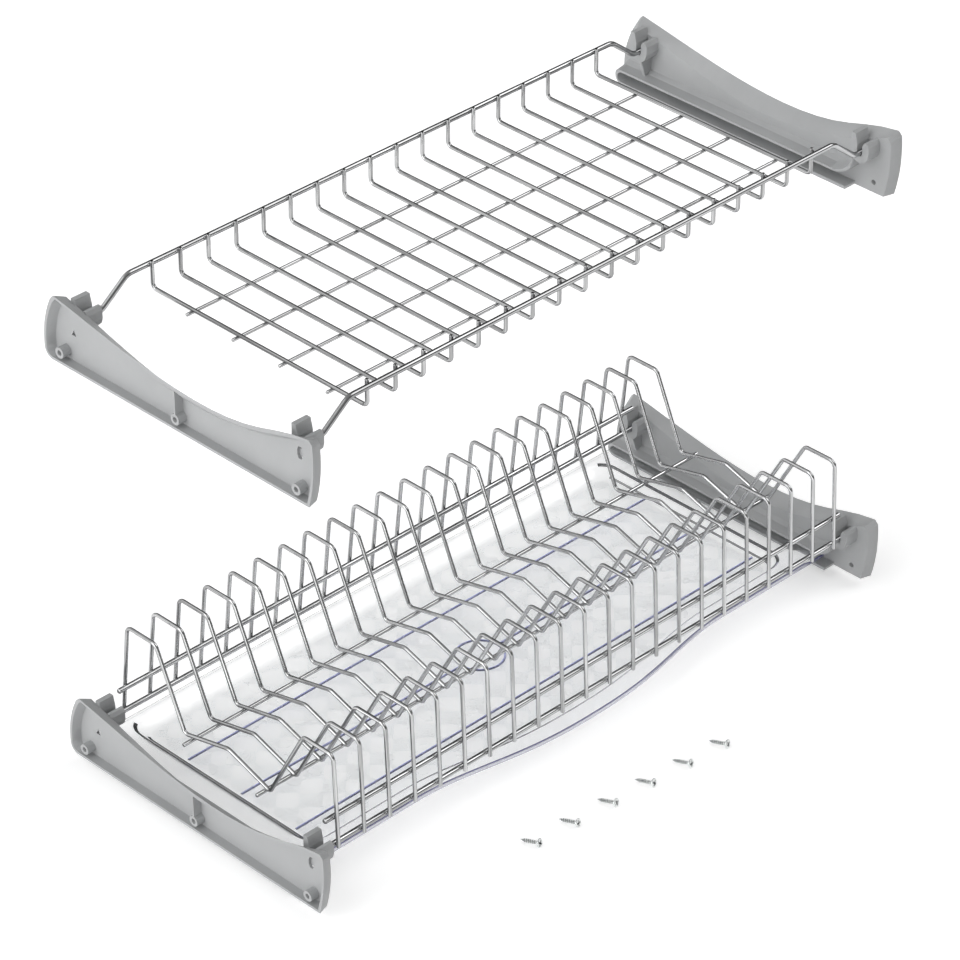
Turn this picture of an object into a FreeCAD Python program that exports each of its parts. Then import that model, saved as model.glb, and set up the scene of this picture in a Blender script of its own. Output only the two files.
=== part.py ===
import FreeCAD, Part
import math
import os

# Cabinet dish rack: an upper glass shelf and a lower plate rack of welded wire, each
# hung in a pair of moulded side brackets, with a clear drip tray in the lower brackets.
# X runs from the left cabinet wall to the right one, -Y is the front, +Z is up.
# The origin lies midway between the walls, at the middle screw holes, on the plane of
# the lower brackets' bottom faces. All sizes are millimetres.

Vector = FreeCAD.Vector
doc = FreeCAD.newDocument("CabinetDishRack")
sheet = doc.addObject("Spreadsheet::Sheet", "Sizes")

DIMENSIONS = [
    # the cabinet and the two levels
    ("clear_width", 564.0, "between the cabinet side walls"),
    ("level_gap", 328.0, "lower bracket bottom to upper bracket bottom"),
    # bracket shell
    ("plate_depth", 9.0, "wall plane to the inner face"),
    ("shell_wall", 2.0, "wall of the moulding"),
    ("back_reach", 130.0, "bracket back edge near the bottom"),
    ("back_top", 121.0, "bracket back edge at its top"),
    ("front_reach", 131.0, "bracket front edge"),
    ("back_bow", 1.0, "how far the back edge bows out"),
    ("front_bow", 0.4, "how far the front edge bows out"),
    ("end_height", 51.0, "height at both ends"),
    ("waist_height", 33.0, "height of the concave top edge at its lowest"),
    ("waist_drop", 10.5, "fall of the top surface from wall to face at the waist"),
    ("end_drop", 3.4, "the same at the ends"),
    ("shoulder_y_back", 64.0, "point of the top edge behind the waist"),
    ("shoulder_rise_back", 8.3, "its height above the waist"),
    ("shoulder_y_front", 78.0, "point of the top edge before the waist"),
    ("shoulder_rise_front", 5.5, "its height above the waist"),
    ("crest_y_front", 102.5, "point of the top edge before the front end"),
    ("crest_rise_front", 12.9, "its height above the waist"),
    ("shoulder_drop", 7.5, "fall of the top surface from wall to face at these points"),
    ("face_draft", 2.6, "how far the face edge stands inside the wall edge"),
    ("foot_radius", 8.0, "round of the back bottom corner"),
    ("end_round", 3.0, "round of the two top corners"),
    # screw bosses and moulded holes
    ("hole_pitch", 115.0, "screw hole to screw hole"),
    ("hole_z", 8.0, "screw holes above the bracket bottom"),
    ("hole_diameter", 4.0, "screw hole"),
    ("boss_diameter", 8.0, "screw boss"),
    ("rib_thickness", 1.5, "rib above the middle boss"),
    ("rib_top", 23.0, "top of the rib at its inner end"),
    ("rib_top_wall", 30.0, "its top at the wall plane"),
    ("window_y", 107.0, "small triangular window"),
    ("window_z", 24.0, "its height"),
    ("window_side", 4.5, "its side"),
    ("slot_height", 9.0, "long window behind the front hub"),
    ("slot_width", 5.0, "its width"),
    ("slot_y", 112.0, "its middle, before the origin"),
    ("slot_z", 31.0, "its middle above the bracket bottom"),
    # tray channel on the inner face
    ("channel_reach", 20.0, "wall plane to the tip of the channel"),
    ("lip_thickness", 2.5, "lower lip"),
    ("groove_height", 8.0, "clear height of the groove"),
    ("ledge_root", 16.7, "ledge top where it meets the plate"),
    ("ledge_crease", 13.8, "ledge top at its crease"),
    ("crease_depth", 12.5, "wall plane to the crease"),
    ("ledge_tip", 12.3, "ledge top at the tip"),
    ("channel_back", 126.0, "closed back end of the channel"),
    ("heel_round", 7.5, "round of its back bottom corner"),
    ("groove_end_wall", 2.0, "wall behind the groove"),
    ("lip_front", 98.0, "front end of the lower lip"),
    ("lead_start", 84.0, "where the ledge starts to sweep up"),
    ("lead_run", 20.0, "length of the sweep"),
    ("lead_rise", 16.0, "rise of the sweep"),
    ("lead_web", 2.4, "web thickness of the sweep"),
    # rail hubs
    ("back_rail_y", 102.0, "axis of the back rail"),
    ("front_rail_y", 111.0, "axis of the front rail, before the origin"),
    ("rail_z", 35.0, "rail axis above the bracket bottom"),
    ("hub_reach", 21.5, "wall plane to the hub face"),
    ("hub_radius", 8.0, "outer round of the hub"),
    ("hub_slab_top", 49.0, "top of the tall rear wall"),
    ("hub_nose_top", 44.0, "top of the round front wall"),
    ("hub_slab", 4.0, "thickness of the rear wall at its top"),
    ("hub_slant", 41.0, "where the slot starts to widen"),
    ("slab_edge", 1.0, "upright edge above the slant"),
    ("nose_rise", 2.8, "height of the cut corners of the nose"),
    ("nose_cut", 1.7, "their width"),
    ("hub_foot", 3.0, "thickness of the foot under the back hub"),
    ("hub_foot_reach", 14.5, "wall plane to the bottom of its free edge"),
    ("seat_clearance", 0.3, "around a rail in its seat"),
    ("rail_end_gap", 1.0, "rail end to the bracket's inner face"),
    # wire and rod sizes
    ("rail_diameter", 4.0, "rails and upper rods"),
    ("rod_diameter", 3.0, "bottom rods of the plate rack"),
    ("wire_diameter", 3.0, "plate wires and cross wires"),
    ("thin_diameter", 2.0, "long wires of the glass shelf"),
    ("weld_gap", 0.15, "between welded wires"),
    # glass shelf
    ("glass_margin", 69.5, "wall plane to the outer cross wires"),
    ("glass_rise", 18.0, "rise of the cranked rails"),
    ("crank_start", 27.0, "wall plane to the outer bend of the crank"),
    ("crank_end", 50.5, "wall plane to its inner bend"),
    ("crank_corner", 3.0, "corner cut of the crank's bends"),
    ("glass_floor_z", 36.0, "cross wire axis above the bracket bottom"),
    ("glass_corner", 4.0, "corner cut of the cross wires"),
    ("hook_tip", 3.5, "wire tip above the rail axis"),
    ("long_wire_first_y", 60.0, "rearmost long wire"),
    ("long_wire_pitch", 45.0, "long wire to long wire"),
    ("long_wire_overhang", 5.0, "left ends beyond the first cross wire"),
    # plate rack
    ("plate_margin", 30.0, "wall plane to the outer plate wires"),
    ("loop_top", 108.0, "axis height of the tall loops"),
    ("loop_back_y", 97.0, "top of the back loop, rear corner"),
    ("loop_back_width", 29.5, "width of the back loop at its top"),
    ("back_valley_y", 40.0, "foot of the back loop"),
    ("back_valley_z", 46.0, "its axis height"),
    ("ridge_y", 5.0, "low ridge between the two valleys, before the origin"),
    ("ridge_z", 57.0, "its axis height"),
    ("front_valley_y", 47.0, "foot of the front loop, before the origin"),
    ("front_valley_z", 43.5, "its axis height"),
    ("loop_front_y", 111.0, "top of the front loop, front corner"),
    ("loop_front_width", 29.0, "width of the front loop at its top"),
    ("loop_corner", 6.0, "corner cut of the loop tops"),
    ("wire_tail", 2.5, "wire end below the lower rail's axis"),
    ("back_rod_z", 55.5, "upper rod in the back loop"),
    ("front_rod_z", 57.0, "upper rod in the front loop"),
    ("bottom_rod_back_y", 32.0, "bottom rod under the back valley"),
    ("bottom_rod_front_y", 42.5, "bottom rod under the front valley, before the origin"),
    ("rod_overhang", 9.0, "rod ends beyond the outer wires"),
    # drip tray
    ("tray_side_gap", 1.5, "tray edge to the groove bottom"),
    ("tray_lift", 0.3, "runner above the lower lip"),
    ("tray_flange_z", 7.0, "underside of the tray flange"),
    ("tray_sheet", 2.0, "tray wall"),
    ("tray_runner", 2.0, "thickness of the turned-down side edge"),
    ("tray_back_gap", 2.5, "tray back edge to the end of the groove"),
    ("tray_front", 92.0, "tray front edge at the sides, before the origin"),
    ("tray_bulge", 18.0, "how far its middle stands further out"),
    ("bulge_half_width", 155.0, "half the length of the bulge"),
    ("side_flange", 27.0, "tray side edge to the basin side wall"),
    ("tray_corner", 4.0, "corner cut of the flange"),
    ("runner_inset", 6.0, "runner ends to the tray's front and back edges"),
    ("basin_back", 117.0, "basin back wall at the flange"),
    ("basin_front", 78.0, "basin front wall at the flange, before the origin"),
    ("side_draft", 6.0, "how far the side walls lean in down to the floor"),
    ("back_draft", 9.0, "how far the back wall leans in"),
    ("front_draft", 3.0, "how far the front wall leans in"),
    ("basin_bulge", 17.1, "how far the middle of the front wall stands further out"),
    ("basin_radius", 16.0, "basin corner radius at the flange"),
    ("tray_floor_z", 0.6, "underside of the basin floor"),
    ("floor_rib_width", 2.0, "ribs on the basin floor"),
    ("floor_rib_height", 1.2, "their height"),
    ("floor_rib_y", 4.5, "middle rib and ring"),
    ("floor_rib_pitch", 55.5, "rib to rib"),
    ("ring_radius", 18.5, "plain ring in the middle of the floor"),
    ("front_lip", 1.5, "raised lip along the front edge"),
    ("front_lip_inset", 21.5, "tray side edges to the ends of the lip"),
    # loose screws
    ("screw_length", 16.0, "screw"),
    ("screw_diameter", 3.5, "over the thread"),
    ("screw_head", 7.0, "head"),
    ("screw_head_height", 2.4, "head cone"),
    ("screw_head_edge", 0.3, "upright edge of the head"),
    ("screw_point", 3.5, "point"),
    ("screw_tip", 0.9, "blunt end of the point"),
    ("screw_rest_z", -8.5, "level that the screws lie on"),
    ("screw_first_x", 50.0, "tip of the rightmost screw"),
    ("screw_first_y", 175.0, "the same, before the origin"),
    ("screw_step_x", 35.0, "screw to screw"),
    ("screw_step_y", 3.0, "screw to screw"),
    ("screw_turn", 23.0, "angle of the screws to the front"),
]

for row, (alias, value, meaning) in enumerate(DIMENSIONS, start=1):
    sheet.set("A%d" % row, meaning)
    sheet.set("B%d" % row, "%g" % value)
    sheet.setAlias("B%d" % row, alias)
doc.recompute()


def size(alias):
    """Value of one named size on the sheet."""
    return float(getattr(sheet, alias))


HALF_WIDTH = size("clear_width") / 2
BRACKET_FACE = HALF_WIDTH - size("plate_depth")
GROOVE_TOP = size("lip_thickness") + size("groove_height")
GROOVE_BACK = size("channel_back") - size("groove_end_wall")
WIRE_COUNT = 22
CROSS_WIRE_COUNT = 18
LONG_WIRE_COUNT = 4
SCREW_COUNT = 6
WIRE_SIDES = 8
BOSS_SIDES = 12
HUB_FLATS = 6
RING_SIDES = 16
SEAT_FLATS = 6
TOP_EDGE_FLATS = 16
BULGE_FLATS = 24

# How far a fused piece runs into its neighbour, and a cutting tool past a surface
EMBED = 0.5
OVERRUN = 1.0

# Pitches of the two rows of wires, as expressions
PLATE_PITCH = "(Sizes.clear_width - 2 * Sizes.plate_margin) / %d" % (WIRE_COUNT - 1)
GLASS_PITCH = "(Sizes.clear_width - 2 * Sizes.glass_margin) / %d" % (CROSS_WIRE_COUNT - 1)

# Half of the tray front's bulge: share of its half length, share of its depth
BULGE_SHAPE = ((1.0, 0.0), (0.72, 0.28), (0.45, 0.72), (0.17, 0.98))


# Helpers that add features to the document

def bind(feature, **expressions):
    """Tie properties of a feature to the sheet; a double underscore stands for a dot."""
    for name, expression in expressions.items():
        feature.setExpression(name.replace("__", "."), expression)
    return feature


def outline(name, edges):
    """A closed or open outline, drawn from the sizes on the sheet."""
    feature = doc.addObject("Part::Feature", name)
    feature.Shape = Part.Wire(Part.__sortEdges__(edges))
    return feature


def loft(name, sections):
    """A ruled solid through closed outlines that have the same edges."""
    feature = doc.addObject("Part::Loft", name)
    feature.Sections = sections
    feature.Solid = True
    feature.Ruled = True
    feature.Linearize = True
    return feature


def extrusion(name, profile, direction, length):
    """A closed outline pushed along a direction by an expression's length."""
    feature = doc.addObject("Part::Extrusion", name)
    feature.Base = profile
    feature.DirMode = "Custom"
    feature.Dir = direction
    feature.Solid = True
    feature.FaceMakerClass = "Part::FaceMakerBullseye"
    return bind(feature, LengthFwd=length)


def fusion(name, pieces):
    """One solid out of several that overlap."""
    feature = doc.addObject("Part::MultiFuse", name)
    feature.Shapes = pieces
    feature.Refine = True
    return feature


def cut(name, base, tool):
    """Base with the tool taken away."""
    feature = doc.addObject("Part::Cut", name)
    feature.Base = base
    feature.Tool = tool
    feature.Refine = True
    return feature


def cylinder(name, diameter, length, axis):
    """A round hole; diameter and length are expressions and axis is a rotation."""
    feature = doc.addObject("Part::Cylinder", name)
    feature.Placement = FreeCAD.Placement(Vector(0, 0, 0), axis)
    return bind(feature, Radius="(%s) / 2" % diameter, Height=length)


def prism(name, sides, diameter, length, axis):
    """A round bar with flat sides that touch the circle of its diameter."""
    feature = doc.addObject("Part::Prism", name)
    feature.Polygon = sides
    half_turn = FreeCAD.Rotation(Vector(0, 0, 1), 180 / sides)
    feature.Placement = FreeCAD.Placement(Vector(0, 0, 0), axis * half_turn)
    return bind(feature, Circumradius="(%s) / 2 / cos(%g)" % (diameter, 180 / sides), Height=length)


def arc_through(start, middle, end):
    """Edge of the arc through three points."""
    return Part.Arc(start, middle, end).toShape()


def straight(start, end):
    """Straight edge between two points."""
    return Part.LineSegment(start, end).toShape()


def straight_edges(points):
    """Straight edges from each point to the next."""
    return [straight(start, end) for start, end in zip(points, points[1:])]


def flats(curve, count):
    """A curve as a number of straight edges."""
    return straight_edges(curve.discretize(count + 1))


def rounded_corner(start, corner, end):
    """Quarter-round edge from start to end that bulges to the corner."""
    pull = 1 - math.sqrt(0.5)
    middle = corner + (start - corner) * pull + (end - corner) * pull
    return arc_through(start, middle, end)


ALONG_X = FreeCAD.Rotation(Vector(0, 1, 0), 90)
INWARD = Vector(-1, 0, 0)


# Moulded side bracket, drawn for the right-hand wall

def top_edge(depth, inset):
    """Points of the concave top edge at a depth from the wall plane."""
    x = HALF_WIDTH - depth
    share = depth / size("plate_depth")
    end_z = size("end_height") - size("end_drop") * share - inset
    slope = math.hypot(1, size("waist_drop") / size("plate_depth"))
    low = size("waist_height") - inset * slope
    shoulder = low - size("shoulder_drop") * share
    front_y = -size("front_reach") + size("face_draft") * share + inset + size("end_round")
    back_y = size("back_top") - size("face_draft") * share - inset - size("end_round")
    return [
        Vector(x, back_y, end_z),
        Vector(x, size("shoulder_y_back"), shoulder + size("shoulder_rise_back")),
        Vector(x, 0, low - size("waist_drop") * share),
        Vector(x, -size("shoulder_y_front"), shoulder + size("shoulder_rise_front")),
        Vector(x, -size("crest_y_front"), shoulder + size("crest_rise_front")),
        Vector(x, front_y, end_z),
    ]


def shell_outline(name, depth, inset):
    """Side view of the bracket at a depth from the wall plane, drawn in by inset."""
    top = top_edge(depth, inset)
    draft = size("face_draft") * depth / size("plate_depth")
    x = HALF_WIDTH - depth
    end_round = size("end_round")
    foot = size("foot_radius")
    back = size("back_reach") - draft - inset
    back_mid = (2 * size("back_reach") + size("back_top")) / 3 + size("back_bow") - draft - inset
    front = top[-1].y - end_round
    end_z = top[0].z
    back_high = Vector(x, top[0].y + end_round, end_z - end_round)
    back_low = Vector(x, back, foot)
    sole_back = Vector(x, back - foot + inset, inset)
    sole_front = Vector(x, front + foot / 2, inset)
    front_high = Vector(x, front, end_z - end_round)
    front_mid = Vector(x, front - size("front_bow"), end_z / 2)
    curve = Part.BSplineCurve()
    curve.interpolate(top)
    return outline(name, flats(curve, TOP_EDGE_FLATS) + [
        straight(top[0], back_high),
        arc_through(back_high, Vector(x, back_mid, (end_z + foot) / 2), back_low),
        rounded_corner(back_low, Vector(x, back, inset), sole_back),
        straight(sole_back, sole_front),
        arc_through(sole_front, front_mid, front_high),
        straight(front_high, top[-1]),
    ])


def channel_outline(name, depth, top):
    """Side view of the tray channel at a depth, with its ledge at height top."""
    x = HALF_WIDTH - depth
    back = size("channel_back")
    low_round = size("heel_round")
    high_round = size("foot_radius") / 2
    lip_front = Vector(x, -size("lip_front"), 0)
    sole = Vector(x, back - low_round, 0)
    heel = Vector(x, back, low_round)
    shoulder = Vector(x, back, top - high_round)
    crown = Vector(x, back - high_round, top)
    sweep = sweep_arc(x, top, size("lead_run"), size("lead_rise"))
    return outline(name, [
        straight(lip_front, sole),
        rounded_corner(sole, Vector(x, back, 0), heel),
        straight(heel, shoulder),
        rounded_corner(shoulder, Vector(x, back, top), crown),
        straight(crown, sweep[0]),
        arc_through(*sweep),
        straight(sweep[2], lip_front),
    ])


def sweep_arc(x, level, run, rise):
    """Start, middle and end of an arc that leaves a level line and sweeps up to the front."""
    radius = (run * run + rise * rise) / (2 * rise)
    half_angle = math.asin(run / radius) / 2
    start = Vector(x, -size("lead_start"), level)
    middle = start + Vector(0, -radius * math.sin(half_angle), radius * (1 - math.cos(half_angle)))
    return start, middle, start + Vector(0, -run, rise)


def groove_outline(name):
    """Side view of the groove: closed and round at the back, flared at the front."""
    x = BRACKET_FACE
    low = size("lip_thickness")
    radius = size("groove_height") / 2
    back = GROOVE_BACK - radius
    front = -size("lip_front") - 2 * size("lead_run")
    web = size("lead_web")
    sweep = sweep_arc(x, GROOVE_TOP, size("lead_run") + web, size("lead_rise") - web / 2)
    low_back = Vector(x, back, low)
    high_back = Vector(x, back, GROOVE_TOP)
    low_front = Vector(x, front, low)
    high_front = Vector(x, front, sweep[2].z)
    return outline(name, [
        straight(low_front, low_back),
        arc_through(low_back, Vector(x, GROOVE_BACK, low + radius), high_back),
        straight(high_back, sweep[0]),
        arc_through(*sweep),
        straight(sweep[2], high_front),
        straight(high_front, low_front),
    ])


def hub_outline(name, hub_y):
    """Side view of a rail hub: a clip open upwards with a tall rear wall and a round nose."""
    x = BRACKET_FACE + EMBED
    z = size("rail_z")
    seat = size("rail_diameter") / 2 + size("seat_clearance")
    radius = size("hub_radius")
    top = size("hub_slab_top")
    slab_in = hub_y + radius - size("hub_slab")
    nose_top = size("hub_nose_top")
    nose_z = nose_top - size("nose_rise")
    nose_cut = size("nose_cut")
    turns = [math.pi * step / HUB_FLATS for step in range(HUB_FLATS + 1)]
    seat_step = math.pi / SEAT_FLATS
    seat_corner = seat / math.cos(seat_step / 2)
    seat_turns = [seat_step * (step + 0.5) for step in range(SEAT_FLATS)]
    corners = [(hub_y + radius, top)]
    corners += [(hub_y + radius * math.cos(turn), z - radius * math.sin(turn)) for turn in turns]
    corners += [
        (hub_y - radius, nose_z), (hub_y - radius + nose_cut, nose_top),
        (hub_y - seat - nose_cut, nose_top), (hub_y - seat, nose_z),
    ]
    corners += [(hub_y - seat_corner * math.cos(turn), z - seat_corner * math.sin(turn)) for turn in seat_turns]
    corners += [(hub_y + seat, size("hub_slant")), (slab_in, top - size("slab_edge")), (slab_in, top)]
    return polygon(name, [Vector(x, *point) for point in corners])


def polygon(name, corners):
    """A closed straight-sided outline."""
    feature = doc.addObject("Part::Feature", name)
    feature.Shape = Part.makePolygon(corners + corners[:1])
    return feature


def bracket_hollow(name):
    """The cavity that opens towards the wall."""
    wall = size("shell_wall")
    return loft(name + "_cavity", [
        shell_outline(name + "_cavity_mouth", -EMBED, wall),
        shell_outline(name + "_cavity_floor", size("plate_depth") - wall, wall),
    ])


def bracket_inner_ribs(name):
    """Screw bosses and the rib that stand in the cavity."""
    pieces = []
    for index in (-1, 0, 1):
        boss = prism("%s_boss_%d" % (name, index + 2), BOSS_SIDES, "Sizes.boss_diameter",
                     "Sizes.plate_depth - Sizes.shell_wall / 2", ALONG_X)
        bind(boss,
             Placement__Base__x="Sizes.clear_width / 2 - Sizes.plate_depth + Sizes.shell_wall / 2",
             Placement__Base__y="Sizes.hole_pitch * (%d)" % index,
             Placement__Base__z="Sizes.hole_z")
        pieces.append(boss)
    top = size("rib_top")
    low = size("hole_z") + size("boss_diameter") / 2 - EMBED
    inner = BRACKET_FACE + size("shell_wall") / 2
    y = -size("rib_thickness") / 2
    rib = polygon(name + "_rib_profile", [
        Vector(HALF_WIDTH, y, low), Vector(HALF_WIDTH, y, size("rib_top_wall")),
        Vector(inner, y, top), Vector(inner, y, low),
    ])
    pieces.append(extrusion(name + "_rib", rib, Vector(0, 1, 0), "Sizes.rib_thickness"))
    return pieces


def bracket_channel(name):
    """The C-shaped tray channel with its ledge, lower lip and flared lead-in."""
    block = loft(name + "_channel_block", [
        channel_outline(name + "_channel_root", size("plate_depth") - EMBED, size("ledge_root")),
        channel_outline(name + "_channel_crease", size("crease_depth"), size("ledge_crease")),
        channel_outline(name + "_channel_tip", size("channel_reach"), size("ledge_tip")),
    ])
    groove = extrusion(name + "_groove", groove_outline(name + "_groove_profile"), INWARD,
                       "Sizes.channel_reach - Sizes.plate_depth + %g" % OVERRUN)
    return cut(name + "_channel", block, groove)


def bracket_hubs(name):
    """Two open rail clips, the back one on a foot that stands on the ledge."""
    pieces = []
    for end, hub_y in (("back", size("back_rail_y")), ("front", -size("front_rail_y"))):
        profile = hub_outline("%s_%s_hub_profile" % (name, end), hub_y)
        hub = extrusion("%s_%s_hub" % (name, end), profile, INWARD,
                        "Sizes.hub_reach - Sizes.plate_depth + %g" % EMBED)
        pieces.append(hub)
    y = size("back_rail_y") - size("hub_foot") / 2
    root = BRACKET_FACE + EMBED
    low = size("ledge_tip") - EMBED
    high = size("rail_z") - size("hub_radius") + EMBED
    foot = polygon(name + "_hub_foot_profile", [
        Vector(root, y, low), Vector(root, y, high),
        Vector(HALF_WIDTH - size("channel_reach"), y, high),
        Vector(HALF_WIDTH - size("hub_foot_reach"), y, low),
    ])
    pieces.append(extrusion(name + "_hub_foot", foot, Vector(0, 1, 0), "Sizes.hub_foot"))
    return pieces


def bracket_openings(name):
    """Screw holes, the triangular window and the long one behind the front hub."""
    pieces = []
    for index in (-1, 0, 1):
        hole = cylinder("%s_hole_%d" % (name, index + 2), "Sizes.hole_diameter",
                        "Sizes.plate_depth + 2 * %g" % OVERRUN, ALONG_X)
        bind(hole, Placement__Base__x="Sizes.clear_width / 2 - Sizes.plate_depth - %g" % OVERRUN,
             Placement__Base__y="Sizes.hole_pitch * (%d)" % index,
             Placement__Base__z="Sizes.hole_z")
        pieces.append(hole)
    side = size("window_side")
    x = HALF_WIDTH
    y = size("window_y")
    z = size("window_z")
    window = polygon(name + "_window_profile", [
        Vector(x, y - side / 2, z - side / 2), Vector(x, y + side / 2, z - side / 2),
        Vector(x, y, z + side / 2),
    ])
    pieces.append(extrusion(name + "_window", window, INWARD, "Sizes.plate_depth + %g" % OVERRUN))
    half = size("slot_width") / 2
    tall = size("slot_height") / 2
    y = -size("slot_y")
    z = size("slot_z")
    turns = ((half, tall - half), (half / 2, tall), (-half / 2, tall), (-half, tall - half))
    corners = [Vector(x, y + across, z + up) for across, up in turns]
    corners += [Vector(x, y - across, z - up) for across, up in turns]
    slot = polygon(name + "_slot_profile", corners)
    pieces.append(extrusion(name + "_slot", slot, INWARD, "Sizes.plate_depth"))
    return pieces


def right_bracket(name, height):
    """One complete right-hand bracket, set at a height given as an expression."""
    body = loft(name + "_body", [
        shell_outline(name + "_wall_outline", 0, 0),
        shell_outline(name + "_face_outline", size("plate_depth"), 0),
    ])
    shell = cut(name + "_shell", body, bracket_hollow(name))
    pieces = [shell] + bracket_inner_ribs(name) + [bracket_channel(name)] + bracket_hubs(name)
    solid = fusion(name + "_solid", pieces)
    openings = fusion(name + "_openings", bracket_openings(name))
    openings.Refine = False
    return bind(cut(name, solid, openings), Placement__Base__z=height)


def mirrored(name, source):
    """The left-hand twin of a right-hand piece."""
    feature = doc.addObject("Part::Mirroring", name)
    feature.Source = source
    feature.Normal = Vector(1, 0, 0)
    return feature


# Straight bars and bent wires

def bar(name, diameter, half_length, y, z):
    """A rod along X, centred, placed by expressions."""
    feature = prism(name, WIRE_SIDES, diameter, "2 * (%s)" % half_length, ALONG_X)
    return bind(feature, Placement__Base__x="-(%s)" % half_length,
                Placement__Base__y=y, Placement__Base__z=z)


def cut_corners(points, cuts):
    """Replace each corner by two points at its cut length; a cut of 0 keeps the corner."""
    path = [points[0]]
    for before, corner, after, length in zip(points, points[1:], points[2:], cuts):
        if length:
            path.append(corner + (before - corner).normalize() * length)
            path.append(corner + (after - corner).normalize() * length)
        else:
            path.append(corner)
    path.append(points[-1])
    return path


def wire_section(name, path, across, diameter):
    """Flat-sided round section square to the start of a path; across is normal to its plane."""
    along = (path[1] - path[0]).normalize()
    side = along.cross(across)
    radius = diameter / 2 / math.cos(math.pi / WIRE_SIDES)
    corners = []
    for index in range(WIRE_SIDES):
        angle = math.pi / WIRE_SIDES * (2 * index + 1)
        corners.append(path[0] + side * (radius * math.cos(angle)) + across * (radius * math.sin(angle)))
    return polygon(name, corners)


def swept(name, section, spine, height):
    """A wire along its path with mitred bends, raised to the height of its level."""
    wire = doc.addObject("Part::Sweep", name)
    wire.Sections = [section]
    wire.Spine = (spine, [])
    wire.Solid = True
    wire.Transition = "Right corner"
    return bind(wire, Placement__Base__z=height)


def wire_path(label, path, across, diameter):
    """Path and section features of one kind of wire."""
    spine = doc.addObject("Part::Feature", label + "_path")
    spine.Shape = Part.makePolygon(path)
    return wire_section(label + "_section", path, across, diameter), spine


def bent_wires(label, count, path, pitch, height):
    """A row of equal bent wires at a pitch along X."""
    section, spine = wire_path(label, path, Vector(1, 0, 0), size("wire_diameter"))
    wires = []
    for index in range(count):
        wire = swept("%s_%02d" % (label, index + 1), section, spine, height)
        wires.append(bind(wire, Placement__Base__x="%s * (%g)" % (pitch, index - (count - 1) / 2)))
    return wires


def cranked_rail(name, y, height):
    """A rail that leaves its hubs level, climbs and runs straight over the shelf."""
    end = BRACKET_FACE - size("rail_end_gap")
    low = size("rail_z")
    high = low + size("glass_rise")
    outer = HALF_WIDTH - size("crank_start")
    inner = HALF_WIDTH - size("crank_end")
    corners = [Vector(x, y, z) for x, z in ((-end, low), (-outer, low), (-inner, high),
                                            (inner, high), (outer, low), (end, low))]
    path = cut_corners(corners, [size("crank_corner")] * 4)
    section, spine = wire_path(name, path, Vector(0, 1, 0), size("rail_diameter"))
    return swept(name, section, spine, height)


def glass_shelf():
    """The upper shelf: two cranked rails, cross wires and long wires under them."""
    level = "Sizes.level_gap"
    inside = (size("rail_diameter") + size("wire_diameter")) / 2 + size("weld_gap")
    back_y = size("back_rail_y")
    front_y = -size("front_rail_y")
    nodes = [cranked_rail("glass_back_rail", back_y, level), cranked_rail("glass_front_rail", front_y, level)]
    tip = size("rail_z") + size("glass_rise") + size("hook_tip")
    floor = size("glass_floor_z")
    corners = [
        Vector(0, back_y - inside, tip), Vector(0, back_y - inside, floor),
        Vector(0, front_y + inside, floor), Vector(0, front_y + inside, tip),
    ]
    corner = size("glass_corner")
    nodes += bent_wires("glass_cross_wire", CROSS_WIRE_COUNT, cut_corners(corners, [corner, corner]),
                        GLASS_PITCH, level)
    outer_wire = "(Sizes.clear_width / 2 - Sizes.glass_margin)"
    for index in range(LONG_WIRE_COUNT):
        wire = prism("glass_long_wire_%d" % (index + 1), WIRE_SIDES, "Sizes.thin_diameter",
                     "2 * %s + Sizes.long_wire_overhang + Sizes.wire_diameter / 2" % outer_wire, ALONG_X)
        bind(wire, Placement__Base__x="-(%s + Sizes.long_wire_overhang)" % outer_wire,
             Placement__Base__y="Sizes.long_wire_first_y - Sizes.long_wire_pitch * %d" % index,
             Placement__Base__z="%s + Sizes.glass_floor_z - Sizes.weld_gap"
                                " - (Sizes.wire_diameter + Sizes.thin_diameter) / 2" % level)
        nodes.append(wire)
    return nodes


def wire_line(points, first):
    """Slope and height function of the straight run that starts at a corner."""
    start = points[first]
    end = points[first + 1]
    slope = (end.z - start.z) / (end.y - start.y)
    return slope, lambda y: start.z + slope * (y - start.y)


def plate_wire_corners():
    """Corner points of a plate wire, from the foot behind the back rail to the front one."""
    outside = (size("rail_diameter") + size("wire_diameter")) / 2 + size("weld_gap")
    top = size("loop_top")

    def leg_foot(rail_y, top_y, sign):
        """Foot of an outer leg that passes the lower rail at the welding distance."""
        lean = math.atan2(abs(rail_y) + outside - abs(top_y), top - size("rail_z"))
        at_rail = abs(rail_y) + outside / math.cos(lean)
        per_height = (at_rail - abs(top_y)) / (top - size("rail_z"))
        return Vector(0, sign * (at_rail + per_height * size("wire_tail")), size("rail_z") - size("wire_tail"))

    back_top = size("loop_back_y")
    front_top = size("loop_front_y")
    return [
        leg_foot(size("back_rail_y"), back_top, 1),
        Vector(0, back_top, top),
        Vector(0, back_top - size("loop_back_width"), top),
        Vector(0, size("back_valley_y"), size("back_valley_z")),
        Vector(0, -size("ridge_y"), size("ridge_z")),
        Vector(0, -size("front_valley_y"), size("front_valley_z")),
        Vector(0, -front_top + size("loop_front_width"), top),
        Vector(0, -front_top, top),
        leg_foot(size("front_rail_y"), front_top, -1),
    ]


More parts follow.
